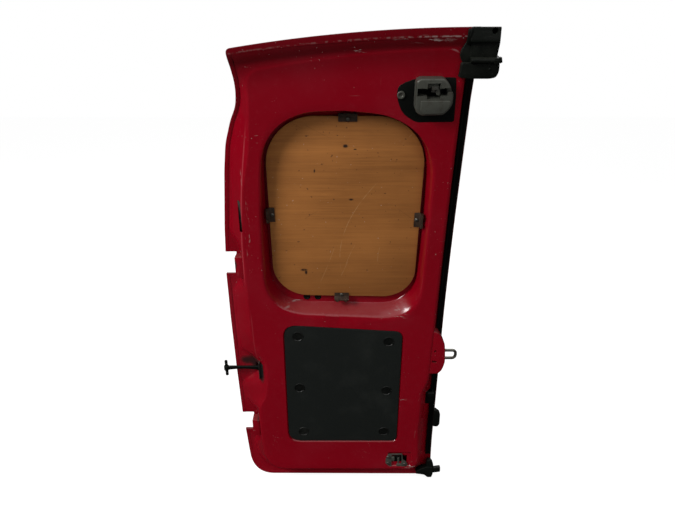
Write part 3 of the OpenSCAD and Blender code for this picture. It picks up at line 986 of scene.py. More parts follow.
class Bench:
    """Modelling moves that every sub-assembly uses."""

    def clear(self) -> None:
        """Deselects everything."""
        if bpy.context.mode != "OBJECT":
            bpy.ops.object.mode_set(mode="OBJECT")
        bpy.ops.object.select_all(action="DESELECT")

    def pick(self, *pieces: Object) -> None:
        """Selects these pieces alone and makes the first one active."""
        self.clear()
        for piece in pieces:
            piece.select_set(True)
        bpy.context.view_layer.objects.active = pieces[0]

    def block(
        self, size: Sequence[float], centre: Sequence[float], radius: float = 0.0, segments: int = 3
    ) -> Object:
        """Box, with rounded edges if it has a radius.

        Args:
            size: Its three sides.
            centre: Its middle.
            radius: Radius of its edges.
            segments: Faces across each rounded edge.

        Returns:
            The box.
        """
        self.clear()
        bpy.ops.mesh.primitive_cube_add(size=1, location=centre, scale=size)
        bpy.ops.object.transform_apply(location=True, rotation=True, scale=True)
        piece = bpy.context.object
        return self.soften(piece, radius, segments) if radius else piece

    def rod(
        self, radius: float, length: float, centre: Sequence[float],
        axis: str = "Y", sides: int = 48,
    ) -> Object:
        """Round bar.

        Args:
            radius: Its radius.
            length: Its length.
            centre: Its middle.
            axis: X, Y or Z.
            sides: Faces round it.

        Returns:
            The bar.
        """
        self.clear()
        turn = {"X": (0, math.pi / 2, 0), "Y": (math.pi / 2, 0, 0), "Z": (0, 0, 0)}[axis]
        bpy.ops.mesh.primitive_cylinder_add(
            vertices=sides, radius=radius, depth=length, location=centre, rotation=turn
        )
        bpy.ops.object.transform_apply(location=True, rotation=True, scale=True)
        return bpy.context.object

    def loft(self, sections: Sequence[Sequence[Vector]], capped: bool = False) -> Object:
        """Skin over loops of equal length: the first loop is extruded to each of the others.

        Args:
            sections: Loops of points, in order.
            capped: Whether the first and the last loop are filled.

        Returns:
            The skin, with its faces outward if it is capped.
        """
        self.clear()
        count = len(sections[0])
        bpy.ops.mesh.primitive_circle_add(vertices=count, radius=1, fill_type="NOTHING")
        piece = bpy.context.object
        for vertex, point in zip(piece.data.vertices, sections[0]):
            vertex.co = point
        bpy.ops.object.mode_set(mode="EDIT")
        bpy.ops.mesh.select_mode(type="EDGE")
        bpy.ops.mesh.select_all(action="SELECT")
        mesh = bmesh.from_edit_mesh(piece.data)
        station = mesh.verts.layers.int.new("station")
        for vertex in mesh.verts:
            vertex[station] = vertex.index
        if capped:
            bpy.ops.mesh.edge_face_add()
            bpy.ops.mesh.select_all(action="SELECT")
            mesh = bmesh.from_edit_mesh(piece.data)
            for face in list(mesh.faces):
                face.select = False
            for edge in mesh.edges:
                edge.select = True
            bmesh.update_edit_mesh(piece.data)
        for section in sections[1:]:
            bpy.ops.mesh.extrude_edges_move()
            mesh = bmesh.from_edit_mesh(piece.data)
            station = mesh.verts.layers.int["station"]
            for vertex in mesh.verts:
                if vertex.select:
                    vertex.co = section[vertex[station]]
            bmesh.update_edit_mesh(piece.data)
        if capped:
            bpy.ops.mesh.edge_face_add()
        bpy.ops.mesh.select_all(action="SELECT")
        if capped:
            bpy.ops.mesh.normals_make_consistent(inside=False)
        bpy.ops.object.mode_set(mode="OBJECT")
        return piece

    def plate(self, outline: Sequence[Point], thickness: float, base: float = 0.0) -> Object:
        """Plate from a flat drawing.

        Args:
            outline: Points in x and z.
            thickness: Its thickness, toward -Y.
            base: Distance of its rear face from y = 0.

        Returns:
            The plate.
        """
        near = [Vector((x, -base, z)) for x, z in outline]
        far = [Vector((x, -base - thickness, z)) for x, z in outline]
        return self.loft([near, far], capped=True)

    def soften(
        self, piece: Object, width: float, segments: int = 3, angle: float = 30.0
    ) -> Object:
        """Rounds the sharp edges of a piece.

        Args:
            piece: The piece.
            width: Width of the rounding.
            segments: Faces across it.
            angle: Edges less sharp than this are left.

        Returns:
            The piece.
        """
        bevel = piece.modifiers.new("round", "BEVEL")
        bevel.width, bevel.segments = width, segments
        bevel.limit_method, bevel.angle_limit = "ANGLE", math.radians(angle)
        bevel.use_clamp_overlap = True
        bevel.harden_normals = False
        return self.apply(piece)

    def outwards(self, piece: Object, weld: float = 0.0) -> Object:
        """Turns all faces outwards.

        Args:
            piece: The piece.
            weld: Distance in metres under which points are merged first.

        Returns:
            The piece.
        """
        self.pick(piece)
        bpy.ops.object.mode_set(mode="EDIT")
        bpy.ops.mesh.select_all(action="SELECT")
        if weld:
            bpy.ops.mesh.remove_doubles(threshold=weld)
            bpy.ops.mesh.select_all(action="SELECT")
        bpy.ops.mesh.normals_make_consistent(inside=False)
        bpy.ops.object.mode_set(mode="OBJECT")
        return piece

    def walled(self, piece: Object, thickness: float, offset: float) -> Object:
        """Gives an open surface the thickness of sheet metal.

        Args:
            piece: The surface.
            thickness: Thickness of the sheet.
            offset: -1 to thicken it inward, 0 to both sides.

        Returns:
            The sheet, with its faces outward.
        """
        wall = piece.modifiers.new("sheet", "SOLIDIFY")
        wall.thickness, wall.offset = thickness, offset
        return self.outwards(self.apply(piece))

    def revolve(self, profile: Sequence[Point], sides: int = 40) -> Object:
        """Turned piece round the local Y, closed at both ends.

        Args:
            profile: Radii, and heights toward -Y.
            sides: Faces round it.

        Returns:
            The turned piece.
        """
        turns = [math.tau * i / sides for i in range(sides)]
        sections = []
        for radius, height in profile:
            reach = max(radius, 0.02)
            sections.append(
                [Vector((reach * math.cos(t), -height, reach * math.sin(t))) for t in turns]
            )
        return self.loft(sections, capped=True)

    def apply(self, piece: Object) -> Object:
        """Applies every modifier of a piece.

        Args:
            piece: The piece.

        Returns:
            The piece.
        """
        self.pick(piece)
        for modifier in list(piece.modifiers):
            bpy.ops.object.modifier_apply(modifier=modifier.name)
        return piece

    def cut(self, piece: Object, *cutters: Object, solver: str = "EXACT") -> Object:
        """Takes the cutters out of a piece and deletes them.

        Args:
            piece: The piece that is cut.
            cutters: Closed pieces that are taken out.
            solver: FAST for a thin sheet whose far parts come close to each other.

        Returns:
            The piece.
        """
        for cutter in cutters:
            saw = piece.modifiers.new("cut", "BOOLEAN")
            saw.operation, saw.object, saw.solver = "DIFFERENCE", cutter, solver
            self.pick(piece)
            bpy.ops.object.modifier_apply(modifier=saw.name)
            bpy.data.objects.remove(cutter)
        return piece

    def join(self, *pieces: Object) -> Object:
        """Joins pieces into the first one.

        Args:
            pieces: Two or more pieces.

        Returns:
            The joined piece.
        """
        self.pick(*pieces)
        bpy.ops.object.join()
        return bpy.context.object

    def settle(self, piece: Object, seat: Matrix) -> Object:
        """Puts a piece's mesh in place, with its object at the origin.

        Args:
            piece: The piece.
            seat: Matrix that its mesh goes through.

        Returns:
            The piece.
        """
        piece.data.transform(seat)
        piece.data.update()
        return piece

    def finish(
        self, piece: Object, name: str, slot: Slot, look: bpy.types.Material,
        nodes: Sequence[str] = (), body: str = "door", angle: float = 35.0,
    ) -> Object:
        """Names a piece, dresses it and fixes it to its body.

        Args:
            piece: The finished mesh, in place.
            name: Name of the piece.
            slot: Slot of the record; not used.
            look: Its material.
            nodes: CAD nodes that it stands for.
            body: Body that it moves with.
            angle: Edges sharper than this stay crisp.

        Returns:
            The piece.
        """
        piece.name = piece.data.name = name
        piece.data.materials.clear()
        piece.data.materials.append(look)
        self.pick(piece)
        bpy.ops.object.shade_smooth_by_angle(angle=math.radians(angle))
        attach(piece, body)
        if nodes:
            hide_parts(*nodes)
        log.info("%s: %d faces", name, len(piece.data.polygons))
        return piece


BENCH = Bench()
FORM = DoorForm()


def rounded(width: float, height: float, radius: float, steps: int = 8) -> list[Point]:
    """Outline of a rectangle with rounded corners round its centre.

    Args:
        width: Its width.
        height: Its height.
        radius: Radius of its corners.
        steps: Parts that each corner is drawn in.

    Returns:
        Points in x and z.
    """
    points: list[Point] = []
    for sx, sz, start in ((1, 1, 0), (-1, 1, 90), (-1, -1, 180), (1, -1, 270)):
        for i in range(steps + 1):
            turn = math.radians(start + 90 * i / steps)
            points.append(
                (sx * (width / 2 - radius) + radius * math.cos(turn),
                 sz * (height / 2 - radius) + radius * math.sin(turn))
            )
    return points


def filleted(corners: Sequence[Point], radius: float, steps: int = 5) -> list[Point]:
    """Outline through corners that are each rounded off.

    Args:
        corners: Points in x and z.
        radius: How far from its corner each rounding starts.
        steps: Parts that each corner is drawn in.

    Returns:
        Points in x and z.
    """
    points: list[Point] = []
    for i, corner in enumerate(corners):
        here = Vector(corner)
        before = Vector(corners[i - 1]) - here
        after = Vector(corners[(i + 1) % len(corners)]) - here
        reach = min(radius, before.length * 0.45, after.length * 0.45)
        a, b = here + before.normalized() * reach, here + after.normalized() * reach
        for k in range(steps + 1):
            p = bent(a, here, b, k / steps)
            points.append((p.x, p.y))
    return points


# ---------------------------------------------------------------- sub-assemblies


@dataclass
class PressedShell:
    """The inner pressing and the outer skin that is folded round it."""

    looks: Looks
    sheet: float = 1.2
    recess: float = 8.4
    climb: Table = (
        (-0.12, 6.0), (0.0, 7.4), (0.05, 10.2), (0.11, 13.4), (0.2, 16.6), (0.35, 22.0),
        (0.5, 27.6), (0.65, 33.2), (0.8, 38.8), (0.9, 42.4),
    )
    spread: tuple[float, ...] = (0.04, 0.1, 0.18, 0.28, 0.4, 0.52, 0.64, 0.76, 0.88)
    fall: Table = (
        (0.0, 46.9), (0.06, 45.6), (0.14, 42.9), (0.25, 38.6), (0.4, 32.2), (0.55, 25.8),
        (0.7, 19.2), (0.82, 14.2), (0.91, 11.0), (0.97, 9.2), (1.0, 8.8),
    )
    skin_spread: tuple[float, ...] = (
        0.02, 0.05, 0.09, 0.14, 0.2, 0.27, 0.36, 0.48, 0.62, 0.76, 0.89,
    )
    skin_top: float = 2.4
    notch: Triple = (60.0, 90.0, 62.0)
    pad_depth: float = 24.0
    bolt_radius: float = 4.25
    bolt_offset: float = 15.0
    ridge_slot: Point = (-222.0, 833.0)
    latch_hole: Point = (184.0, 84.0)
    boss_seat: Triple = (262.0, 445.0, 16.2)
    boss_outline: Table = (
        (-23, 68), (-15, 68), (-2, 60), (9, 44), (16, 29), (19, 4), (21, -27), (18, -42),
        (13, -56), (4, -64), (-23, -65),
    )

    def inner(self) -> Object:
        """Inner pressing with its ridge, pockets and window recess.

        Returns:
            The pressing, with its two openings' surrounds.
        """
        f = FORM
        outer = f.ring(f.out_l, f.out_r, 8, f.sag, 1.4, 58)
        step = f.ring(f.out_l, f.out_r, 6, f.sag, f.hem + 1, 52, 9)
        foot = f.ring(f.wall_l, f.wall_r, 30, f.sag, 0, 60)
        ridge = f.ring(f.face_l, f.face_r, 34, f.sag, 0, 62)
        crown = f.ring(f.face_l, f.face_r, 32, f.sag, 5, 58)
        rim = f.facing(crown, f.ring(f.rim_l, f.rim_r, 98, f.window_sag + 6, 0))
        floor = f.facing(crown, f.ring(f.floor_l, f.floor_r, 84, f.window_sag, 0))
        ledge = f.facing(crown, f.ring(f.floor_l, f.floor_r, 62, f.window_sag, 22))
        top, base = f.depth, f.hem_height
        loops = [f.lifted(loop, base) for loop in (outer, step, blended(step, foot, 0.5))]
        loops += [f.lifted(blended(foot, ridge, t), h) for t, h in self.climb]
        loops += [f.lifted(ridge, 45.4), f.lifted(blended(ridge, crown, 0.35), 46.8),
                  f.lifted(blended(ridge, crown, 0.7), 47.6), f.lifted(crown, top)]
        brow = blended(crown, rim, 0.93)
        loops += [f.lifted(blended(crown, brow, t), top) for t in self.spread]
        loops += [f.lifted(brow, top)]
        loops += [f.lifted(blended(rim, floor, t), h) for t, h in self.fall]
        loops += [f.lifted(blended(floor, ledge, 0.15), self.recess), f.lifted(ledge, self.recess)]
        piece = BENCH.walled(BENCH.loft(loops), self.sheet * MM, -1)
        BENCH.cut(piece, *self._openings(), solver="FAST")
        piece = BENCH.join(piece, self._cover_pan(), self._latch_pan())
        return BENCH.finish(
            piece, "inner_pressing", Slot.PAINT, self.looks.paint, ["inner_panel"], angle=40
        )

    def _openings(self) -> list[Object]:
        """Cutters for everything that goes through the pressing.

        Returns:
            The cutters: two large openings, a slot, a hole, the strap's hole, notches and wells.
        """
        holes = (
            (COVER.outline(3.0), (COVER.x, COVER.middle), 38, 30),
            (self._latch_outline(70, 50, 6), self.latch_hole, 36, 40),
            (rounded(7, 76, 3.4), self.ridge_slot, 8, 60),
            (rounded(5, 5, 2.4), (204, 95), 30, 40),
            (rounded(22, 26, 4), (-212, 384), 8, 60),
        )
        cutters = [
            BENCH.settle(BENCH.plate(outline, deep), FORM.seat(*spot, h))
            for outline, spot, h, deep in holes
        ]
        for _, x, z in FORM.hinges:
            cutters.append(self._notch(x, z))
            well = BENCH.block(FORM.pad_size, self._pad_centre(x, z))
            cutters.append(BENCH.settle(well, FORM.frame()))
        return cutters

    def _notch(self, x: float, z: float) -> Object:
        """Cutter for the notch of a hinge in the door's edge."""
        wide = self.notch[0]
        return BENCH.settle(BENCH.block(self.notch, (x - wide / 2, 0, z)), FORM.frame())

    def _pad_centre(self, x: float, z: float) -> Triple:
        """Middle of a hinge pad whose flat face is at x."""
        return (x + FORM.pad_size[0] / 2, FORM.curve(z) - self.pad_depth, z)

    def _latch_outline(
        self, width: float, height: float, radius: float, steps: int = 8
    ) -> list[Point]:
        """Outline of the lower latch's opening, a little aside of its seat."""
        return [(x - 5, z + 1) for x, z in rounded(width, height, radius, steps)]

    def _pan(self, steps: Sequence[tuple[list[Point], float]], seat: Matrix) -> Object:
        """Pressed-in surround of an opening.

        Args:
            steps: Outlines and their heights.
            seat: Seat that the outlines are drawn on.

        Returns:
            The surround, in place.
        """
        piece = BENCH.loft([[Vector((x, -h, z)) for x, z in outline] for outline, h in steps])
        return BENCH.settle(BENCH.walled(piece, self.sheet, 0), seat)

    def _cover_pan(self) -> Object:
        """Shallow recess that the access cover sits in.

        Returns:
            The recess, in place.
        """
        steps = (
            (9.0, 4.6), (5.4, 4.5), (4.0, 4.0), (3.1, 2.8), (2.4, 1.4), (1.2, 0.6), (-14.0, 0.5),
        )
        return self._pan([(COVER.outline(d), h) for d, h in steps], COVER.seat(43.0))

    def _latch_pan(self) -> Object:
        """Dished surround of the lower latch opening.

        Returns:
            The surround, in place.
        """
        steps = (
            (6.0, 4.1), (1.0, 4.0), (0.0, 3.6), (-1.2, 2.4), (-2.2, 0.6), (-6.0, 0.0), (-14.0, 0.0),
        )
        rings = [
            (self._latch_outline(70 + 2 * d, 50 + 2 * d, max(8 + d, 2.0), 10), h) for d, h in steps
        ]
        return self._pan(rings, FORM.seat(*self.latch_hole, 43.6))

    def skin(self) -> Object:
        """Outer skin with its hem folded over the pressing's flange.

        Returns:
            The skin.
        """
        f = FORM
        edge = f.ring(f.out_l, f.out_r, 10, f.sag, 0, 58)
        near = f.ring(f.out_l, f.out_r, 8, f.sag, 1.3, 57)
        lip = f.ring(f.out_l, f.out_r, 6, f.sag, f.hem, 52, 9)
        gap = f.facing(edge, f.ring(f.floor_l, f.floor_r, 84, f.window_sag, 0))
        base = f.hem_height
        loops = [f.skinned(gap, self.skin_top), f.skinned(gap, 0.0)]
        loops += [f.skinned(blended(edge, gap, t), 0.0) for t in reversed(self.skin_spread)]
        loops += [f.skinned(blended(edge, near, 0.6), 0.2), f.skinned(edge, 1.0)]
        fold = (
            (edge, 6.1), (blended(edge, near, 0.6), 7.2), (blended(near, lip, 0.9), 7.4),
            (lip, 7.1), (lip, 6.0), (near, 5.95),
        )
        loops += [f.lifted(loop, h, base) for loop, h in fold] + [f.skinned(near, 2.5)]
        loops += [f.skinned(blended(near, gap, t), self.skin_top) for t in self.skin_spread]
        loops += [loops[0]]
        piece = BENCH.outwards(BENCH.loft(loops), weld=WELD)
        for _, x, z in f.hinges:
            BENCH.cut(piece, self._notch(x, z), solver="FAST")
        return BENCH.finish(
            piece, "outer_skin_sheet", Slot.PAINT, self.looks.paint, ["outer_skin"], angle=40
        )

    def boss(self) -> Object:
        """Pressed bulge that carries the striker eye, with its two holes.

        Returns:
            The bulge.
        """
        seat = FORM.seat(*self.boss_seat)
        piece = BENCH.plate(filleted(self.boss_outline, 7, 6), 31.0)
        BENCH.soften(piece, 5.0, 5, 50)
        BENCH.settle(piece, seat)
        hole = BENCH.rod(3.2, 60, (-7, -25, 7))
        slot = BENCH.plate([(x - 7, z - 26 - 0.2 * x) for x, z in rounded(14, 7, 3.4)], 60, -5)
        BENCH.cut(piece, BENCH.settle(hole, seat), BENCH.settle(slot, seat))
        return BENCH.finish(
            piece, "striker_boss", Slot.PAINT, self.looks.paint, ["striker_plate"]
        )

    def pads(self) -> None:
        """Tapped plates of the two hinges."""
        for name, x, z in FORM.hinges:
            across, depth, up = self._pad_centre(x, z)
            plate = BENCH.block(FORM.pad_size, (across, depth, up), 1.2)
            for side in (-self.bolt_offset, self.bolt_offset):
                BENCH.cut(plate, BENCH.rod(self.bolt_radius, 50, (across, depth, up + side), "X"))
            BENCH.settle(plate, FORM.frame())
            BENCH.finish(
                plate, name + "_hinge_plate", Slot.PAINT, self.looks.paint, [name + "_hinge_pad"]
            )

    def slot_strip(self) -> None:
        """Strip in the slot of the ridge."""
        strip = BENCH.soften(BENCH.plate(rounded(6.5, 75.5, 3), 3.4), 0.8, 2)
        seat = FORM.seat(*self.ridge_slot, 15) @ Matrix.Translation((0, -17, 0))
        BENCH.settle(strip, seat)
        BENCH.finish(strip, "ridge_slot_strip", Slot.STEEL, self.looks.latch, ["slot_plate"])

    def build(self) -> None:
        """Builds the painted steel."""
        self.inner()
        self.skin()
        self.boss()
        self.pads()
        self.slot_strip()


@dataclass
class BoardedWindow:
    """The plywood board, its clips and what closes the opening behind it."""

    looks: Looks
    centre: float = 16.5
    foot: float = 603.0
    width: float = 349.0
    height: float = 452.0
    board: float = 9.0
    back: float = 10.4
    foot_radii: Point = (76.0, 84.0)
    top_radius: float = 104.0
    plug_spots: Table = ((-78.0, 595.0), (-50.0, 595.0))
    plug_profile: Table = (
        (0, 1.2), (4.5, 1.2), (5.4, 1.9), (7.2, 1.9), (8.6, 1.3), (9.0, 0.2), (7.0, -0.6),
    )
    clip_side: Table = (
        (-3.4, 8.2), (-3.4, 1.0), (-3.0, 0.0), (9.6, 0.0), (10.6, 0.4), (11.0, 1.9), (9.6, 2.0),
        (-0.6, 2.0), (-1.4, 2.6), (-1.4, 6.4), (-1.9, 7.2), (-8.6, 7.4), (-8.6, 9.4), (-4.2, 9.4),
    )
    pane_heart: Point = (12.0, 815.0)
    pane_faces: Point = (2.9, 6.1)
    clips: tuple[tuple[str, float, float, float, float], ...] = (
        ("top", 5.0, 454.0, 180.0, 40.0), ("left", -172.0, 228.0, 90.0, 36.0),
        ("right", 172.0, 215.0, -90.0, 36.0), ("bottom", -6.0, 1.0, 0.0, 36.0),
    )

    def frame(self) -> Matrix:
        """Seat of the flat board, which rests at its top and bottom.

        Returns:
            Matrix from millimetres round the middle of the board's bottom edge to the frame.
        """
        f = FORM
        tilt = math.atan2(f.curve(self.foot) - f.curve(self.foot + self.height), self.height)
        return placed(f.at(self.centre, self.foot, 0), tilt)

    def outline(self) -> list[Point]:
        """Outline of the board, with larger corners at the top and all sides a little bowed.

        Returns:
            Points in x and z round the board, from its bottom edge.
        """
        w, h = self.width / 2, self.height
        right, left = self.foot_radii
        corners = (
            self._corner(w, 0, right, 270) + self._corner(w, h, self.top_radius, 0)
            + self._corner(-w, h, self.top_radius, 90) + self._corner(-w, 0, left, 180)
        )
        points = []
        for x, z in corners:
            bulge = (3.0 if z > h / 2 else -1.5) * max(0.0, 1 - (x / w) ** 2)
            slope = (x / w - 1) * 3.0 * (z < h / 2)
            points.append((x - 1.5 * math.copysign((z / h - 0.4) ** 2 * 4, x), z + bulge - slope))
        return points

    def _corner(
        self, x: float, z: float, radius: float, start: float, steps: int = 16
    ) -> list[Point]:
        """Quarter circle inside a corner.

        Args:
            x: The corner.
            z: The corner.
            radius: Radius of the circle.
            start: Direction of its first point, in degrees.
            steps: Parts that it is drawn in.

        Returns:
            Points in x and z.
        """
        cx = x - math.copysign(radius, x)
        cz = z + radius if z == 0 else z - radius
        turns = [math.radians(start + 90 * i / steps) for i in range(steps + 1)]
        return [(cx + radius * math.cos(t), cz + radius * math.sin(t)) for t in turns]

    def panel(self) -> None:
        """The board itself."""
        piece = BENCH.plate(self.outline(), self.board, self.back)
        BENCH.soften(piece, 0.9, 2, 50)
        BENCH.settle(piece, self.frame())
        BENCH.finish(piece, "plywood_board", Slot.WOOD, self.looks.wood, ["window_board"])

    def _band(self, loops: Sequence[Sequence[Vector]]) -> Object:
        """Closed ring of material through loops that go once round its section."""
        return BENCH.outwards(BENCH.loft([*loops, loops[0]]), weld=WELD)

    def seals(self) -> None:
        """Foam strip behind the board and rubber round the pane."""
        w, h = self.width / 2, self.height / 2
        loops = []
        for inset, rise in ((8.0, 8.9), (8.0, 10.2), (16.0, 10.2), (16.0, 8.9)):
            loops.append([
                self.frame() @ Vector((x * (1 - inset / w), -rise, (z - h) * (1 - inset / h) + h))
                for x, z in self.outline()
            ])
        foam, rubber = self._band(loops), self.looks.rubber
        BENCH.finish(foam, "board_foam_strip", Slot.RUBBER, rubber, ["board_seal"])
        f = FORM
        wide = f.ring(f.floor_l, f.floor_r, 84, f.window_sag, 3.0)
        slim = f.ring(f.floor_l, f.floor_r, 84, f.window_sag, 15.0)
        section = ((wide, 6.2), (wide, 7.1), (slim, 7.1), (slim, 6.2))
        band = self._band([f.skinned(ring, h) for ring, h in section])
        BENCH.finish(band, "pane_rubber", Slot.RUBBER, rubber, ["pane_seal"])

    def pane(self) -> None:
        """Dark pane behind the board, bowed like the skin."""
        f = FORM
        rim = f.ring(f.floor_l, f.floor_r, 90, f.window_sag, -6.0)
        heart = [Vector(self.pane_heart)] * len(rim)
        shares = (0.0, 0.25, 0.5, 0.75, 0.995)
        outside, inside = self.pane_faces
        loops = [f.skinned(blended(rim, heart, t), outside) for t in reversed(shares)]
        loops += [f.skinned(blended(rim, heart, t), inside) for t in shares]
        piece = BENCH.loft(loops, capped=True)
        BENCH.finish(piece, "dark_window_pane", Slot.GLASS, self.looks.pane, ["window_pane"])

    def _clip_seat(self, x: float, z: float, turn: float) -> Matrix:
        """Seat of a clip on the board's face, turned round Y."""
        on_face = Matrix.Translation((x, -self.back - self.board, z))
        return self.frame() @ on_face @ Matrix.Rotation(math.radians(turn), 4, "Y")

    def clip(self, name: str, x: float, z: float, turn: float, wide: float) -> None:
        """Stepped sheet clip: a foot under a screw and a raised band with two holes.

        Args:
            name: Side of the board that it holds.
            x: Place on the board.
            z: Place on the board.
            turn: Its turn in degrees.
            wide: Its width.
        """
        half = wide / 2
        ends = [[Vector((x_end, -h, v)) for v, h in self.clip_side] for x_end in (-half, half)]
        piece = BENCH.loft(ends, capped=True)
        BENCH.soften(piece, 0.5, 2, 40)
        for shift in (-wide * 0.29, wide * 0.29):
            BENCH.cut(piece, BENCH.block((6.5, 12, 3.8), (shift, -8.4, -6.0)))
        BENCH.settle(piece, self._clip_seat(x, z, turn))
        node = "board_clip_" + name
        BENCH.finish(piece, node + "_sheet", Slot.CLIP, self.looks.clip, [node])

    def screws(self) -> None:
        """Cross-head screws of the four clips."""
        heads = []
        for _, x, z, turn, _ in self.clips:
            seat = self._clip_seat(x, z, turn) @ Matrix.Translation((0, -1.9, 5.4))
            heads.append(BENCH.settle(cross_head(4.0, 2.2), seat))
        piece = BENCH.join(*heads)
        BENCH.finish(piece, "clip_screw_heads", Slot.STEEL, self.looks.steel, ["board_screws"])

    def plugs(self) -> None:
        """Two rubber plugs in the ledge below the board."""
        domes = []
        for x, z in self.plug_spots:
            domes.append(BENCH.settle(BENCH.revolve(self.plug_profile), FORM.seat(x, z, 8.65)))
        piece = BENCH.join(*domes)
        BENCH.finish(piece, "ledge_plugs", Slot.RUBBER, self.looks.rubber, ["body_plugs"])

    def build(self) -> None:
        """Builds the window."""
        self.panel()
        for clip in self.clips:
            self.clip(*clip)
        self.screws()
        self.plugs()
        self.seals()
        self.pane()


def cross_head(radius: float, height: float) -> Object:
    """Pan head with a cross recess, facing -Y from y = 0.

    Args:
        radius: Radius of the head.
        height: Height of the head.

    Returns:
        The head.
    """
    head = BENCH.revolve((
        (0, height), (radius * 0.45, height * 0.97), (radius * 0.8, height * 0.72),
        (radius, height * 0.25), (radius, 0), (radius * 0.5, -0.5),
    ))
    for turn in (0, 90):
        slot = BENCH.block((radius * 1.15, 1.6, radius * 0.26), (0, -height, 0))
        BENCH.cut(head, BENCH.settle(slot, Matrix.Rotation(math.radians(turn + 25), 4, "Y")))
    return head


def repaint(name: str, look: bpy.types.Material) -> None:
    """Gives a CAD node a finish."""
    for slot in NODES[name].material_slots:
        slot.material = look


@dataclass(frozen=True)
class CoverForm:
    """Outline of the lower cover, wider rounded on its hinge side."""

    x: float = 15.0
    foot: float = 150.0
    width: float = 304.0
    tall: float = 381.0
    slant: float = 20.0
    radii: tuple[float, ...] = (36.0, 22.0, 16.0, 36.0)
    corner_steps: int = 16

    @property
    def middle(self) -> float:
        """Height of the cover's seat."""
        return self.foot + self.tall / 2

    def outline(self, grow: float) -> list[Point]:
        """Outline round the seat.

        Args:
            grow: Distance that it lies outside the cover's own outline.

        Returns:
            Points in x and z.
        """
        w, h = self.width / 2 + grow, self.tall / 2 + grow
        corners = [Vector((-w, h)), Vector((w, h - self.slant)), Vector((w, -h)), Vector((-w, -h))]
        points = []
        for i, corner in enumerate(corners):
            a = (corners[i - 1] - corner).normalized()
            b = (corners[(i + 1) % 4] - corner).normalized()
            reach = max(self.radii[i] + grow, 2.0)
            for k in range(self.corner_steps + 1):
                t = k / self.corner_steps
                p = corner + a * reach * (1 - t) ** 2 + b * reach * t * t
                points.append((p.x, p.y))
        return points

    def wells(self) -> list[Point]:
        """Centres of the six screw wells.

        Returns:
            Points in x and z round the seat.
        """
        w, h = self.width / 2, self.tall
        places = ((35 - w, h - 34), (w - 35, h - 49), (35 - w, h / 2 - 6), (w - 35, h / 2 - 15),
                  (42 - w, 34.0), (w - 37, 34.0))
        return [(x, z - h / 2) for x, z in places]

    def seat(self, h: float) -> Matrix:
        """Seat of the cover's middle at a height above the skin."""
        return FORM.seat(self.x, self.middle, h)


COVER = CoverForm()


@dataclass
class AccessCover:
    """Textured cover with six recessed screws."""

    looks: Looks
    rise: float = 44.0
    well_radius: float = 12.6
    edge: Table = (
        (-0.6, 0.0), (0.0, 0.8), (0.0, 2.2), (-0.5, 2.8), (-1.6, 3.1), (-5.0, 3.2),
    )
    cup_profile: Table = (
        (14.6, 3.0), (14.2, 3.8), (13.2, 4.2), (12.2, 3.6), (10.6, 1.6), (10.0, -3.8),
        (9.4, -4.6), (2.8, -4.8), (2.8, -6.2), (12.0, -6.2), (12.4, 0.2),
    )

    def build(self) -> None:
        """Builds the cover and its screws."""
        sections = [[Vector((x, -h, z)) for x, z in COVER.outline(d)] for d, h in self.edge]
        cover = BENCH.loft(sections, capped=True)
        heads, cups = [], []
        for x, z in COVER.wells():
            BENCH.cut(cover, BENCH.rod(self.well_radius, 20, (x, 0, z)))
            cup = BENCH.revolve(self.cup_profile, 48)
            cups.append(BENCH.settle(cup, Matrix.Translation((x, 0, z))))
            heads.append(BENCH.settle(cross_head(5.5, 2.6), Matrix.Translation((x, 5.5, z))))
        seat, looks = COVER.seat(self.rise), self.looks
        cups = BENCH.settle(BENCH.join(*cups), seat)
        BENCH.finish(cups, "lower_cover_screw_cups", Slot.PLASTIC, looks.cup)
        BENCH.settle(cover, seat)
        BENCH.finish(cover, "lower_cover", Slot.PLASTIC, looks.cover, ["access_cover"])
        heads = BENCH.settle(BENCH.join(*heads), seat)
        BENCH.finish(
            heads, "lower_cover_screw_heads", Slot.STEEL, looks.latch, ["cover_screws"]
        )


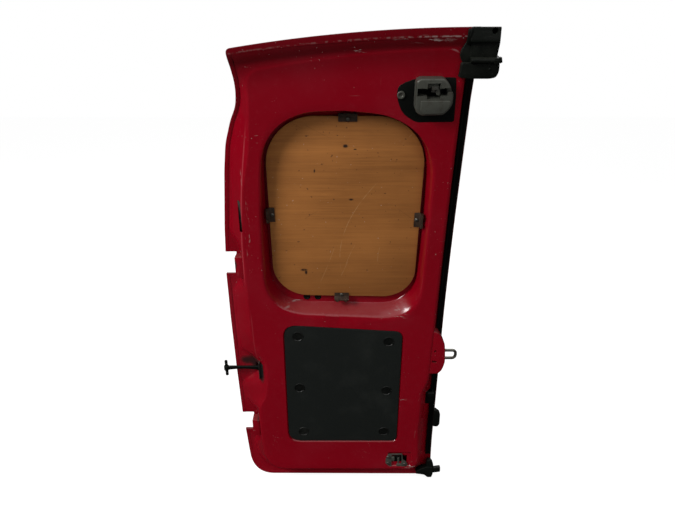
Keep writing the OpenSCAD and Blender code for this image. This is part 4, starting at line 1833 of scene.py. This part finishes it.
@dataclass
class UpperLatch:
    """Rubber mat, cast housing, claw and the raised plate of the upper latch."""

    looks: Looks
    place: Triple = (188.0, 1098.0, 47.3)
    mat_thickness: float = 2.5
    depth: float = 27.0
    plate_rise: float = 26.2
    mat_outline: Table = (
        (-70, 8), (-68, 18), (-60, 24), (-46, 30), (-27, 35), (-8, 36), (44, 36), (48, -2),
        (50, -53), (-26, -54), (-38, -48), (-53, -38), (-62, -25), (-69, -5),
    )
    stud_spot: Triple = (-62.0, 0.0, 2.0)
    stud_profile: Table = ((0, 1.2), (3.0, 1.3), (4.2, 2.6), (6.6, 3.0), (7.8, 2.2), (8.0, 0))
    outline: Table = (
        (-37, 30), (-34, 36), (-28, 39), (17, 39), (25, 32), (34, 17), (37, 7), (37, -10),
        (31, -21), (20, -31), (-22, -32), (-32, -27), (-36, -18),
    )
    cuts: tuple[tuple[Triple, Triple], ...] = (
        ((60, 30, 15), (-4, -17.0, 13.5)), ((34, 22, 9), (34, -22, 17.5)),
        ((25, 30, 12), (-3, -17, 25.0)), ((27, 30, 6), (-1, -17, 3.5)),
        ((7, 9, 70), (-38.5, -29, 4)),
    )
    rim_outline: Table = (
        (-17, 20), (-17, 32.4), (11.5, 33), (11.5, 20), (9.6, 20), (9.6, 30.6), (-14.8, 30),
        (-14.8, 20),
    )
    hook_outline: Table = ((4, 8), (2, 14), (4, 19), (9, 19), (11, 12), (9, 6))
    plate_outline: Table = (
        (-26, -2), (31, -2), (34, -8), (29, -18), (19, -27), (-20, -28), (-26, -21),
    )

    def seat(self) -> Matrix:
        """Seat on top of the mat."""
        return FORM.seat(*self.place) @ Matrix.Translation((0, -self.mat_thickness, 0))

    def mat(self) -> None:
        """Rubber mat with its button."""
        piece = BENCH.plate(filleted(self.mat_outline, 6), self.mat_thickness)
        BENCH.soften(piece, 0.9, 3, 40)
        BENCH.settle(piece, FORM.seat(*self.place))
        BENCH.finish(piece, "latch_rubber_mat", Slot.RUBBER, self.looks.rubber, ["latch_mat"])
        stud = BENCH.revolve(self.stud_profile)
        BENCH.settle(stud, self.seat() @ Matrix.Translation(self.stud_spot))
        BENCH.finish(stud, "latch_mat_stud", Slot.RUBBER, self.looks.latch, ["mat_button"])

    def housing(self) -> None:
        """Cast housing with its mouth, the notch for the claw and a black sheet at the back of the
        mouth as painted shade.
        """
        piece = BENCH.plate(filleted(self.outline, 4, 4), self.depth)
        BENCH.soften(piece, 3.4, 4, 40)
        BENCH.cut(piece, *[BENCH.block(size, centre) for size, centre in self.cuts])
        rim = BENCH.soften(BENCH.plate(self.rim_outline, 1.4, self.plate_rise), 0.5, 2)
        wedge = BENCH.block((22, 11, 9), (-3, -16, 25.0), 2.0)
        hook = BENCH.plate(filleted(self.hook_outline, 1.5, 3), 14, 8)
        BENCH.soften(hook, 0.8, 2)
        # Painted shade: a thin black sheet darkens the back of the mouth.
        mouth_shade = BENCH.block((58, 2.2, 28), (-4, -3.0, 15), 0.5, 2)
        BENCH.settle(mouth_shade, self.seat())
        BENCH.finish(mouth_shade, "upper_latch_mouth_painted_shade", Slot.LATCH, self.looks.rubber)
        piece = BENCH.join(piece, rim, wedge, hook)
        BENCH.settle(piece, self.seat())
        BENCH.finish(
            piece, "upper_latch_casting", Slot.LATCH, self.looks.latch, ["upper_latch_housing"],
            angle=30,
        )

    def back(self) -> None:
        """Raised plate on the front of the housing."""
        piece = BENCH.plate(filleted(self.plate_outline, 2.5, 4), 3.6, self.plate_rise)
        BENCH.soften(piece, 1.3, 3, 40)
        BENCH.settle(piece, self.seat())
        BENCH.finish(
            piece, "upper_latch_face_plate", Slot.LATCH, self.looks.latch, ["upper_latch_back"]
        )

    def build(self) -> None:
        """Builds the latch."""
        self.mat()
        self.housing()
        self.back()
        repaint("claw_pin", self.looks.steel)
        repaint("upper_latch_claw", self.looks.steel)


@dataclass
class LowerLatch:
    """Bolted latch body in the opening near the bottom edge."""

    looks: Looks
    place: Triple = (184.0, 84.0, 46.8)
    outline: Table = (
        (-46, -19), (-46, 19), (-34, 20), (2, 21), (4, 0), (12, -4), (18, -16), (13, -26),
        (-30, -27), (-32, -20),
    )
    bolts: Table = ((-38.5, 10.0), (-38.5, -11.0), (9.0, -14.5))
    bolt_profile: Table = ((0, 3.0), (2.4, 3.0), (4.2, 2.5), (5.0, 1.2), (5.0, 0), (2, -0.5))

    def build(self) -> None:
        """Builds the latch body and its bolts."""
        seat = FORM.seat(*self.place)
        body = BENCH.plate(filleted(self.outline, 3, 4), 2.4, 0.2)
        BENCH.soften(body, 0.7, 2, 40)
        BENCH.cut(body, BENCH.block((29, 30, 42), (-14, 0, -4)))
        tongue = BENCH.block((9, 9, 15), (-24, 2, 2), 2.2)
        cup = BENCH.block((17, 5, 9), (-5, 1.5, -20), 2.0)
        arm = BENCH.block((6, 6, 20), (-8, 5, -6), 1.6)
        body = BENCH.join(body, tongue, cup, arm)
        core = BENCH.block((27, 16, 38), (-14, 11, -4), 1.0, 2)
        BENCH.settle(core, seat)
        BENCH.finish(core, "lower_latch_core", Slot.LATCH, self.looks.rubber)
        BENCH.settle(body, seat)
        BENCH.finish(
            body, "lower_latch_bracket", Slot.LATCH, self.looks.latch, ["lower_latch_body"]
        )
        heads = []
        for x, z in self.bolts:
            head = BENCH.revolve(self.bolt_profile, 36)
            heads.append(BENCH.settle(head, Matrix.Translation((x, -3, z))))
        heads = BENCH.settle(BENCH.join(*heads), seat)
        BENCH.finish(
            heads, "lower_latch_bolt_heads", Slot.STEEL, self.looks.steel, ["lower_latch_screws"]
        )


@dataclass
class EdgeRubbers:
    """Weatherstrip, end caps, buffer and clip along the meeting edge."""

    looks: Looks
    strip_profile: Table = (
        (2.2, 7.3), (2.6, 12.0), (4.2, 14.6), (6.6, 15.5), (9.0, 15.0), (10.8, 13.4),
        (12.4, 13.2), (13.6, 15.0), (15.4, 15.6), (17.2, 14.8), (17.9, 12.8), (10.0, 12.4),
        (9.2, 7.3),
    )
    strip_foot: float = 74.0
    strip_top: float = 1133.0
    strip_steps: int = 140
    top_seat: Triple = (272.0, 1176.0, 30.0)
    low_seat: Triple = (258.0, 26.0, 10.0)
    buffer_seat: Triple = (272.0, 212.0, 16.0)
    clip_seat: Triple = (250.0, 288.0, 16.0)

    def strip(self) -> None:
        """Ribbed weatherstrip up the meeting edge."""
        sections = []
        for i in range(self.strip_steps + 1):
            z = self.strip_foot + (self.strip_top - self.strip_foot) * i / self.strip_steps
            edge = reading(FORM.out_r, z)
            curled = FORM.lifted([Vector((edge, z))], 0.0, FORM.hem_height)[0]
            lift = Vector((0, curled.y - FORM.at(edge, z, 0).y, 0))
            sections.append([FORM.at(edge - d, z, h) + lift for d, h in self.strip_profile])
        piece = BENCH.loft(sections, capped=True)
        BENCH.finish(
            piece, "meeting_edge_weatherstrip", Slot.RUBBER, self.looks.rubber,
            ["meeting_edge_strip"],
        )

    def _solid(
        self, outline: Sequence[Point], thick: float, base: float, radius: float, round_off: float
    ) -> Object:
        """Moulded block with a rounded outline and soft edges.

        Args:
            outline: Corners in x and z.
            thick: Its thickness, toward -Y.
            base: Distance of its rear face from y = 0.
            radius: Rounding of the outline's corners.
            round_off: Rounding of the edges.

        Returns:
            The block.
        """
        piece = BENCH.plate(filleted(outline, radius, 5), thick, base)
        return BENCH.soften(piece, round_off, 3, 40)

    def _swept(self, profile: Sequence[Point], left: float, right: float, radius: float) -> Object:
        """Moulded bar with one side view from end to end.

        Args:
            profile: The side view, as heights toward -Y and z.
            left: x of its left end.
            right: x of its right end.
            radius: Rounding of its edges.

        Returns:
            The bar.
        """
        ends = [[Vector((x, -h, z)) for h, z in profile] for x in (left, right)]
        piece = BENCH.loft(ends, capped=True)
        return BENCH.soften(piece, radius, 3, 30)

    def top_cap(self) -> None:
        """Corner piece at the top: flap, block with a socket, rib, nub, neck, lip, horn, foot."""
        flap = self._solid(
            [(-39, 8), (-34, 19), (-30, 28), (-28, 36), (-30, 45), (-18, 45), (-9, -12),
             (-33, -12), (-39, -1)], 18, 6, 3, 1.8,
        )
        block = self._swept(
            [(4, 48.6), (26, 52.0), (29, 51), (30, 45), (31.4, 41), (33.4, 32), (34.2, 28.6),
             (33.6, 25.6), (24, 24.5), (4, 22)], -25, 30, 1.2,
        )
        rib = self._swept(
            [(4, 46.5), (31, 49.4), (33, 44), (33, 30), (29, 22), (4, 20)], -31, -24, 0.9
        )
        nub = self._swept([(6, 48.8), (27, 52.4), (27, 46), (6, 44)], -21.5, -6.5, 1.2)
        neck = self._solid([(-23.5, 28), (-19, -7), (31, -4), (33, 28)], 23, 3, 4, 1.6)
        lip = self._swept(
            [(4, -1.5), (33, -1.5), (37, -2.2), (39, -5), (38.4, -9), (34, -11.4), (4, -12.5)],
            -20, 37, 1.1,
        )
        horn = self._solid(
            [(22, -9), (22, -2), (30, -1), (36.5, 1), (39, -9), (25, -12)], 8, 30.6, 1.5, 1.0
        )
        foot = self._solid(
            [(-36, -11), (-36.5, -33), (-38, -38.5), (-16.5, -41), (22.5, -41), (34, -38.5),
             (38, -28), (37, -11)], 26, 4, 5, 2.2,
        )
        BENCH.cut(block, BENCH.rod(5.8, 20, (18.5, -28, 45.4)))
        screw = BENCH.settle(cross_head(3.0, 1.6), Matrix.Translation((19.5, -30, -23)))
        piece = BENCH.join(flap, block, rib, nub, neck, lip, horn, foot, screw)
        BENCH.settle(piece, FORM.seat(*self.top_seat))
        BENCH.finish(
            piece, "top_corner_moulding", Slot.RUBBER, self.looks.cap, ["top_end_cap"]
        )

    def low_cap(self) -> None:
        """Corner piece at the bottom, with its sideways arm."""
        body = self._solid(
            [(-27, -8), (-27, -1), (-15, 7), (8, 15), (22, 12), (22, -7), (18, -19), (6, -19),
             (-3, -11), (-24, -8)], 20, 2, 3, 2,
        )
        arm = self._solid(
            [(12, -5), (12, 9), (26, 10), (44, 13), (44, -3), (22, -6)], 12, 8, 3, 2
        )
        stem = self._solid([(2, 8), (4, 33), (15, 36), (22, 26), (25, 8)], 16, 4, 3, 2)
        piece = BENCH.join(body, arm, stem)
        BENCH.settle(piece, FORM.seat(*self.low_seat))
        BENCH.finish(
            piece, "bottom_corner_moulding", Slot.RUBBER, self.looks.rubber, ["lower_corner_cap"]
        )

    def buffer(self) -> None:
        """Rubber buffer and the clip block above it."""
        main = self._solid(
            [(-2, 33), (4, 31), (16, 21), (17, -17), (11, -26), (-2, -24)], 15, 0.4, 4, 3
        )
        BENCH.settle(main, FORM.seat(*self.buffer_seat))
        BENCH.finish(main, "edge_rubber_buffer", Slot.RUBBER, self.looks.rubber, ["edge_buffer"])
        block = self._solid(
            [(-15, 8), (-10, 20), (15, 20), (15, -10), (4, -20), (-14, -20)], 14, 0.4, 4, 2
        )
        step = self._solid([(-4, 6), (-4, 20), (15, 20), (15, 6)], 20, 0.4, 3, 2)
        piece = BENCH.join(block, step)
        BENCH.settle(piece, FORM.seat(*self.clip_seat))
        BENCH.finish(piece, "edge_clip_block", Slot.PLASTIC, self.looks.rubber, ["edge_clip"])

    def build(self) -> None:
        """Builds the rubber parts."""
        self.strip()
        self.top_cap()
        self.low_cap()
        self.buffer()


@dataclass
class StrikerEye:
    """Bent rod on the boss that the other leaf's latch grips."""

    looks: Looks
    place: Triple = (279.0, 430.0, 27.0)
    pitch: float = 24.0
    root: float = -14.0
    reach: float = 34.0
    bend: float = 9.5
    bend_steps: int = 12
    wire: float = 3.9
    sides: int = 20
    foot_profile: Table = ((0, 3.4), (5.4, 3.4), (6.2, 2.6), (6.2, 0), (2, -0.5))

    def _path(self) -> list[Point]:
        """Middle line of the rod, from one foot round the loop to the other.

        Returns:
            Points in x and z.
        """
        half, corner = self.pitch / 2, self.reach - self.bend
        path: list[Point] = [(self.root, half), (0.0, half), (corner - 8, half)]
        for i in range(self.bend_steps + 1):
            angle = math.radians(90 - 90 * i / self.bend_steps)
            path.append((corner + self.bend * math.cos(angle),
                         half - self.bend + self.bend * math.sin(angle)))
        return path + [(x, -z) for x, z in reversed(path)]

    def build(self) -> None:
        """Builds the rod from its two feet round the loop."""
        path, depth = self._path(), Vector((0, 1, 0))
        sections = []
        for i, (x, z) in enumerate(path):
            before, after = path[max(i - 1, 0)], path[min(i + 1, len(path) - 1)]
            along = Vector((after[0] - before[0], 0, after[1] - before[1])).normalized()
            side = along.cross(depth)
            ring = []
            for k in range(self.sides):
                turn = math.tau * k / self.sides
                out = Vector((0, math.cos(turn), 0)) + side * math.sin(turn)
                ring.append(Vector((x, 0, z)) + out * self.wire)
            sections.append(ring)
        piece = BENCH.loft(sections, capped=True)
        for z in (-self.pitch / 2, self.pitch / 2):
            foot = BENCH.revolve(self.foot_profile, 32)
            on_side = Matrix.Rotation(math.radians(90), 4, "Z")
            BENCH.settle(foot, Matrix.Translation((-1.5, 0, z)) @ on_side)
            piece = BENCH.join(piece, foot)
        BENCH.settle(piece, FORM.seat(*self.place))
        BENCH.finish(piece, "striker_bent_rod", Slot.STEEL, self.looks.steel, ["striker_eye"])


@dataclass
class CheckStrap:
    """Strap that limits how far the door opens, with its box in the hinge-side wall."""

    looks: Looks
    pin_x: float = -299.0
    height: float = 384.0
    depth: float = 24.0
    length: float = 215.0
    steps: int = 48
    bowed: float = 92.0
    bow: float = 3.4
    section: Point = (6.0, 12.0)
    gasket_x: float = 90.5

    def seat(self) -> Matrix:
        """Seat at the middle of the strap's pin."""
        return placed(FORM.at(self.pin_x, self.height, self.depth))

    def strap(self) -> None:
        """Bowed bar with its pin and hub."""
        thick, tall = self.section
        sections = []
        for i in range(self.steps + 1):
            x = self.length * i / self.steps
            share = math.pi * min(x / self.bowed, 1.0)
            bow, waist = self.bow * math.sin(share), 0.86 + 0.14 * abs(math.cos(share))
            outline = rounded(thick * waist, tall * waist - 0.6 * bow, 1.8, 4)
            sections.append([Vector((x, a, b + bow * 0.55)) for a, b in outline])
        bar = BENCH.loft(sections, capped=True)
        pin = BENCH.soften(BENCH.rod(4.0, 46, (0, 0, 0), "Z", 40), 0.8)
        hub = BENCH.soften(BENCH.rod(6.8, 13.6, (0, 0, 0), "Z", 40), 1.6)
        stop = BENCH.block((8, 12, 16), (211, 0, 0), 1.0, 2)
        piece = BENCH.join(bar, pin, hub, stop)
        BENCH.settle(piece, self.seat())
        BENCH.finish(
            piece, "check_strap_bar", Slot.STEEL, self.looks.rubber, ["check_strap"], body="strap"
        )

    def gasket(self) -> None:
        """Box and gasket that the bar slides through."""
        repaint("check_box", self.looks.cover)
        plate = BENCH.block((3, 32, 52), (self.gasket_x, -1, 0), 0.8, 2)
        BENCH.cut(plate, BENCH.block((20, 7, 13), (90, 0, 0)))
        BENCH.settle(plate, self.seat())
        BENCH.finish(
            plate, "check_rubber_gasket", Slot.RUBBER, self.looks.grime, ["check_gasket"]
        )

    def build(self) -> None:
        """Builds the strap and its box."""
        self.strap()
        self.gasket()


NODES: dict[str, Object] = {}


@dataclass
class Studio:
    """Camera, floor, world and lamps."""

    focal_pixels: float = 507.0
    picture: tuple[int, int] = (675, 506)
    pitch: float = 23.5
    eye: Triple = (0.247, -1.12165, 0.521)
    sensor: float = 36.0
    middle: Triple = (0.25, 0.0, -0.1)
    floor_size: float = 14.0
    pale: Colour = (0.88, 0.88, 0.88)
    dim: Colour = (0.3, 0.3, 0.3)
    dark: Colour = (0.01, 0.01, 0.01)
    room: tuple[float, ...] = (-0.1, 0.9, 0.12, 0.62)
    reflected: tuple[float, ...] = (0.3, 0.9, 0.002, 1.1)
    lamps: tuple[tuple[str, Triple, float, float], ...] = (
        ("key", (-2.2, -1.55, 1.9), 1.1, 96), ("fill", (1.9, -2.2, 1.2), 1.6, 9),
        ("back", (0.6, 2.2, 1.4), 2.2, 40),
    )

    def camera(self) -> None:
        """Camera at the photograph's angle."""
        data = bpy.data.cameras.new("camera")
        data.sensor_fit, data.sensor_width = "HORIZONTAL", self.sensor
        data.lens = self.focal_pixels / self.picture[0] * self.sensor
        data.clip_start, data.clip_end = 0.05, 50.0
        camera = bpy.data.objects.new("camera", data)
        camera.location = self.eye
        camera.rotation_euler = (math.radians(90.0 - self.pitch), 0.0, 0.0)
        bpy.context.scene.collection.objects.link(camera)
        bpy.context.scene.camera = camera

    def floor(self, level: float) -> None:
        """Pale floor for the camera that keeps the shadow, and a darker one for the bounce.

        Args:
            level: Height of the floor.
        """
        BENCH.clear()
        x, y, _ = self.middle
        bpy.ops.mesh.primitive_plane_add(size=self.floor_size, location=(x, y, level))
        floor = bpy.context.object
        floor.name = "studio_floor"
        r = Recipe("pale_floor")
        seen = r.node("LightPath", {}, {}, "Is Camera Ray").most(
            r.node("LightPath", {}, {}, "Is Transmission Ray")
        )
        gloss = r.node("LightPath", {}, {}, "Is Glossy Ray")
        far = r.mix(gloss, self.dim, self.dark)
        r.set(Base_Color=r.mix(seen, far, self.pale), Roughness=0.9, Specular_IOR_Level=0.1)
        glow = r.node("Emission", {}, {"Color": (1, 1, 1, 1), "Strength": 1.2})
        blend = r.node("MixShader", {}, {0: seen * 0.72, 1: Term(r, r.shader.outputs[0]), 2: glow})
        r.tree.links.new(blend.socket, r.out.inputs["Surface"])
        floor.data.materials.append(r.material)
        floor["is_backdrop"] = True

    def world(self) -> None:
        """White backdrop for the camera; for light and reflections a dim room lit from above."""
        world = bpy.data.worlds.new("studio")
        bpy.context.scene.world = world
        world.use_nodes = True
        tree = world.node_tree
        tree.nodes.clear()

        def node(kind: str, inputs: dict[int, Any], **settings: Any) -> bpy.types.Node:
            """Adds a node to the world, sets it and links it.

            Args:
                kind: Node type without its ShaderNode prefix.
                inputs: Value or socket for each input.
                settings: Attributes of the node.

            Returns:
                The node.
            """
            made = tree.nodes.new("ShaderNode" + kind)
            for key, value in settings.items():
                setattr(made, key, value)
            for key, value in inputs.items():
                if isinstance(value, bpy.types.NodeSocket):
                    tree.links.new(value, made.inputs[key])
                else:
                    made.inputs[key].default_value = value
            return made

        paths = node("LightPath", {})
        way = node("SeparateXYZ", {0: node("TexCoord", {}).outputs["Generated"]})
        room, reflected = (
            node("MapRange", {0: way.outputs[2], **dict(enumerate(limits, 1))}).outputs[0]
            for limits in (self.room, self.reflected)
        )
        glossy = node("Mix", {0: paths.outputs["Is Glossy Ray"], 2: room, 3: reflected})
        either = node(
            "Math", {0: paths.outputs["Is Camera Ray"], 1: paths.outputs["Is Transmission Ray"]},
            operation="MAXIMUM",
        )
        power = node("Mix", {0: either.outputs[0], 2: glossy.outputs[0], 3: 1.0})
        light = node("Background", {0: (1, 1, 1, 1), 1: power.outputs[0]})
        out = node("OutputWorld", {})
        tree.links.new(light.outputs[0], out.inputs["Surface"])

    def lamp(self, name: str, spot: Triple, size: float, power: float) -> None:
        """Square area lamp aimed at the middle of the door.

        Args:
            name: Name of the lamp.
            spot: Where it stands.
            size: Length of its sides.
            power: Its power in watts.
        """
        data = bpy.data.lights.new(name, "AREA")
        data.size, data.energy = size, power
        lamp = bpy.data.objects.new(name, data)
        lamp.location = spot
        aim = Vector(self.middle) - Vector(spot)
        lamp.rotation_euler = aim.to_track_quat("-Z", "Y").to_euler()
        bpy.context.scene.collection.objects.link(lamp)

    def build(self, level: float) -> None:
        """Sets up the whole stage.

        Args:
            level: Height of the floor.
        """
        self.camera()
        self.floor(level)
        self.world()
        for lamp in self.lamps:
            self.lamp(*lamp)
        bpy.context.scene.view_settings.view_transform = "Standard"


def main() -> None:
    """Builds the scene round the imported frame."""
    logging.basicConfig(level=logging.INFO, format="%(message)s")
    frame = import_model()
    NODES.update(frame["nodes"])
    low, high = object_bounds()
    Studio().build(low[2] - 0.0005)
    looks = Looks().build()
    for assembly in (
        PressedShell(looks), BoardedWindow(looks), AccessCover(looks), UpperLatch(looks),
        LowerLatch(looks), EdgeRubbers(looks), StrikerEye(looks), CheckStrap(looks),
    ):
        assembly.build()
    low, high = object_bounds()


if __name__ == "__main__":
    main()
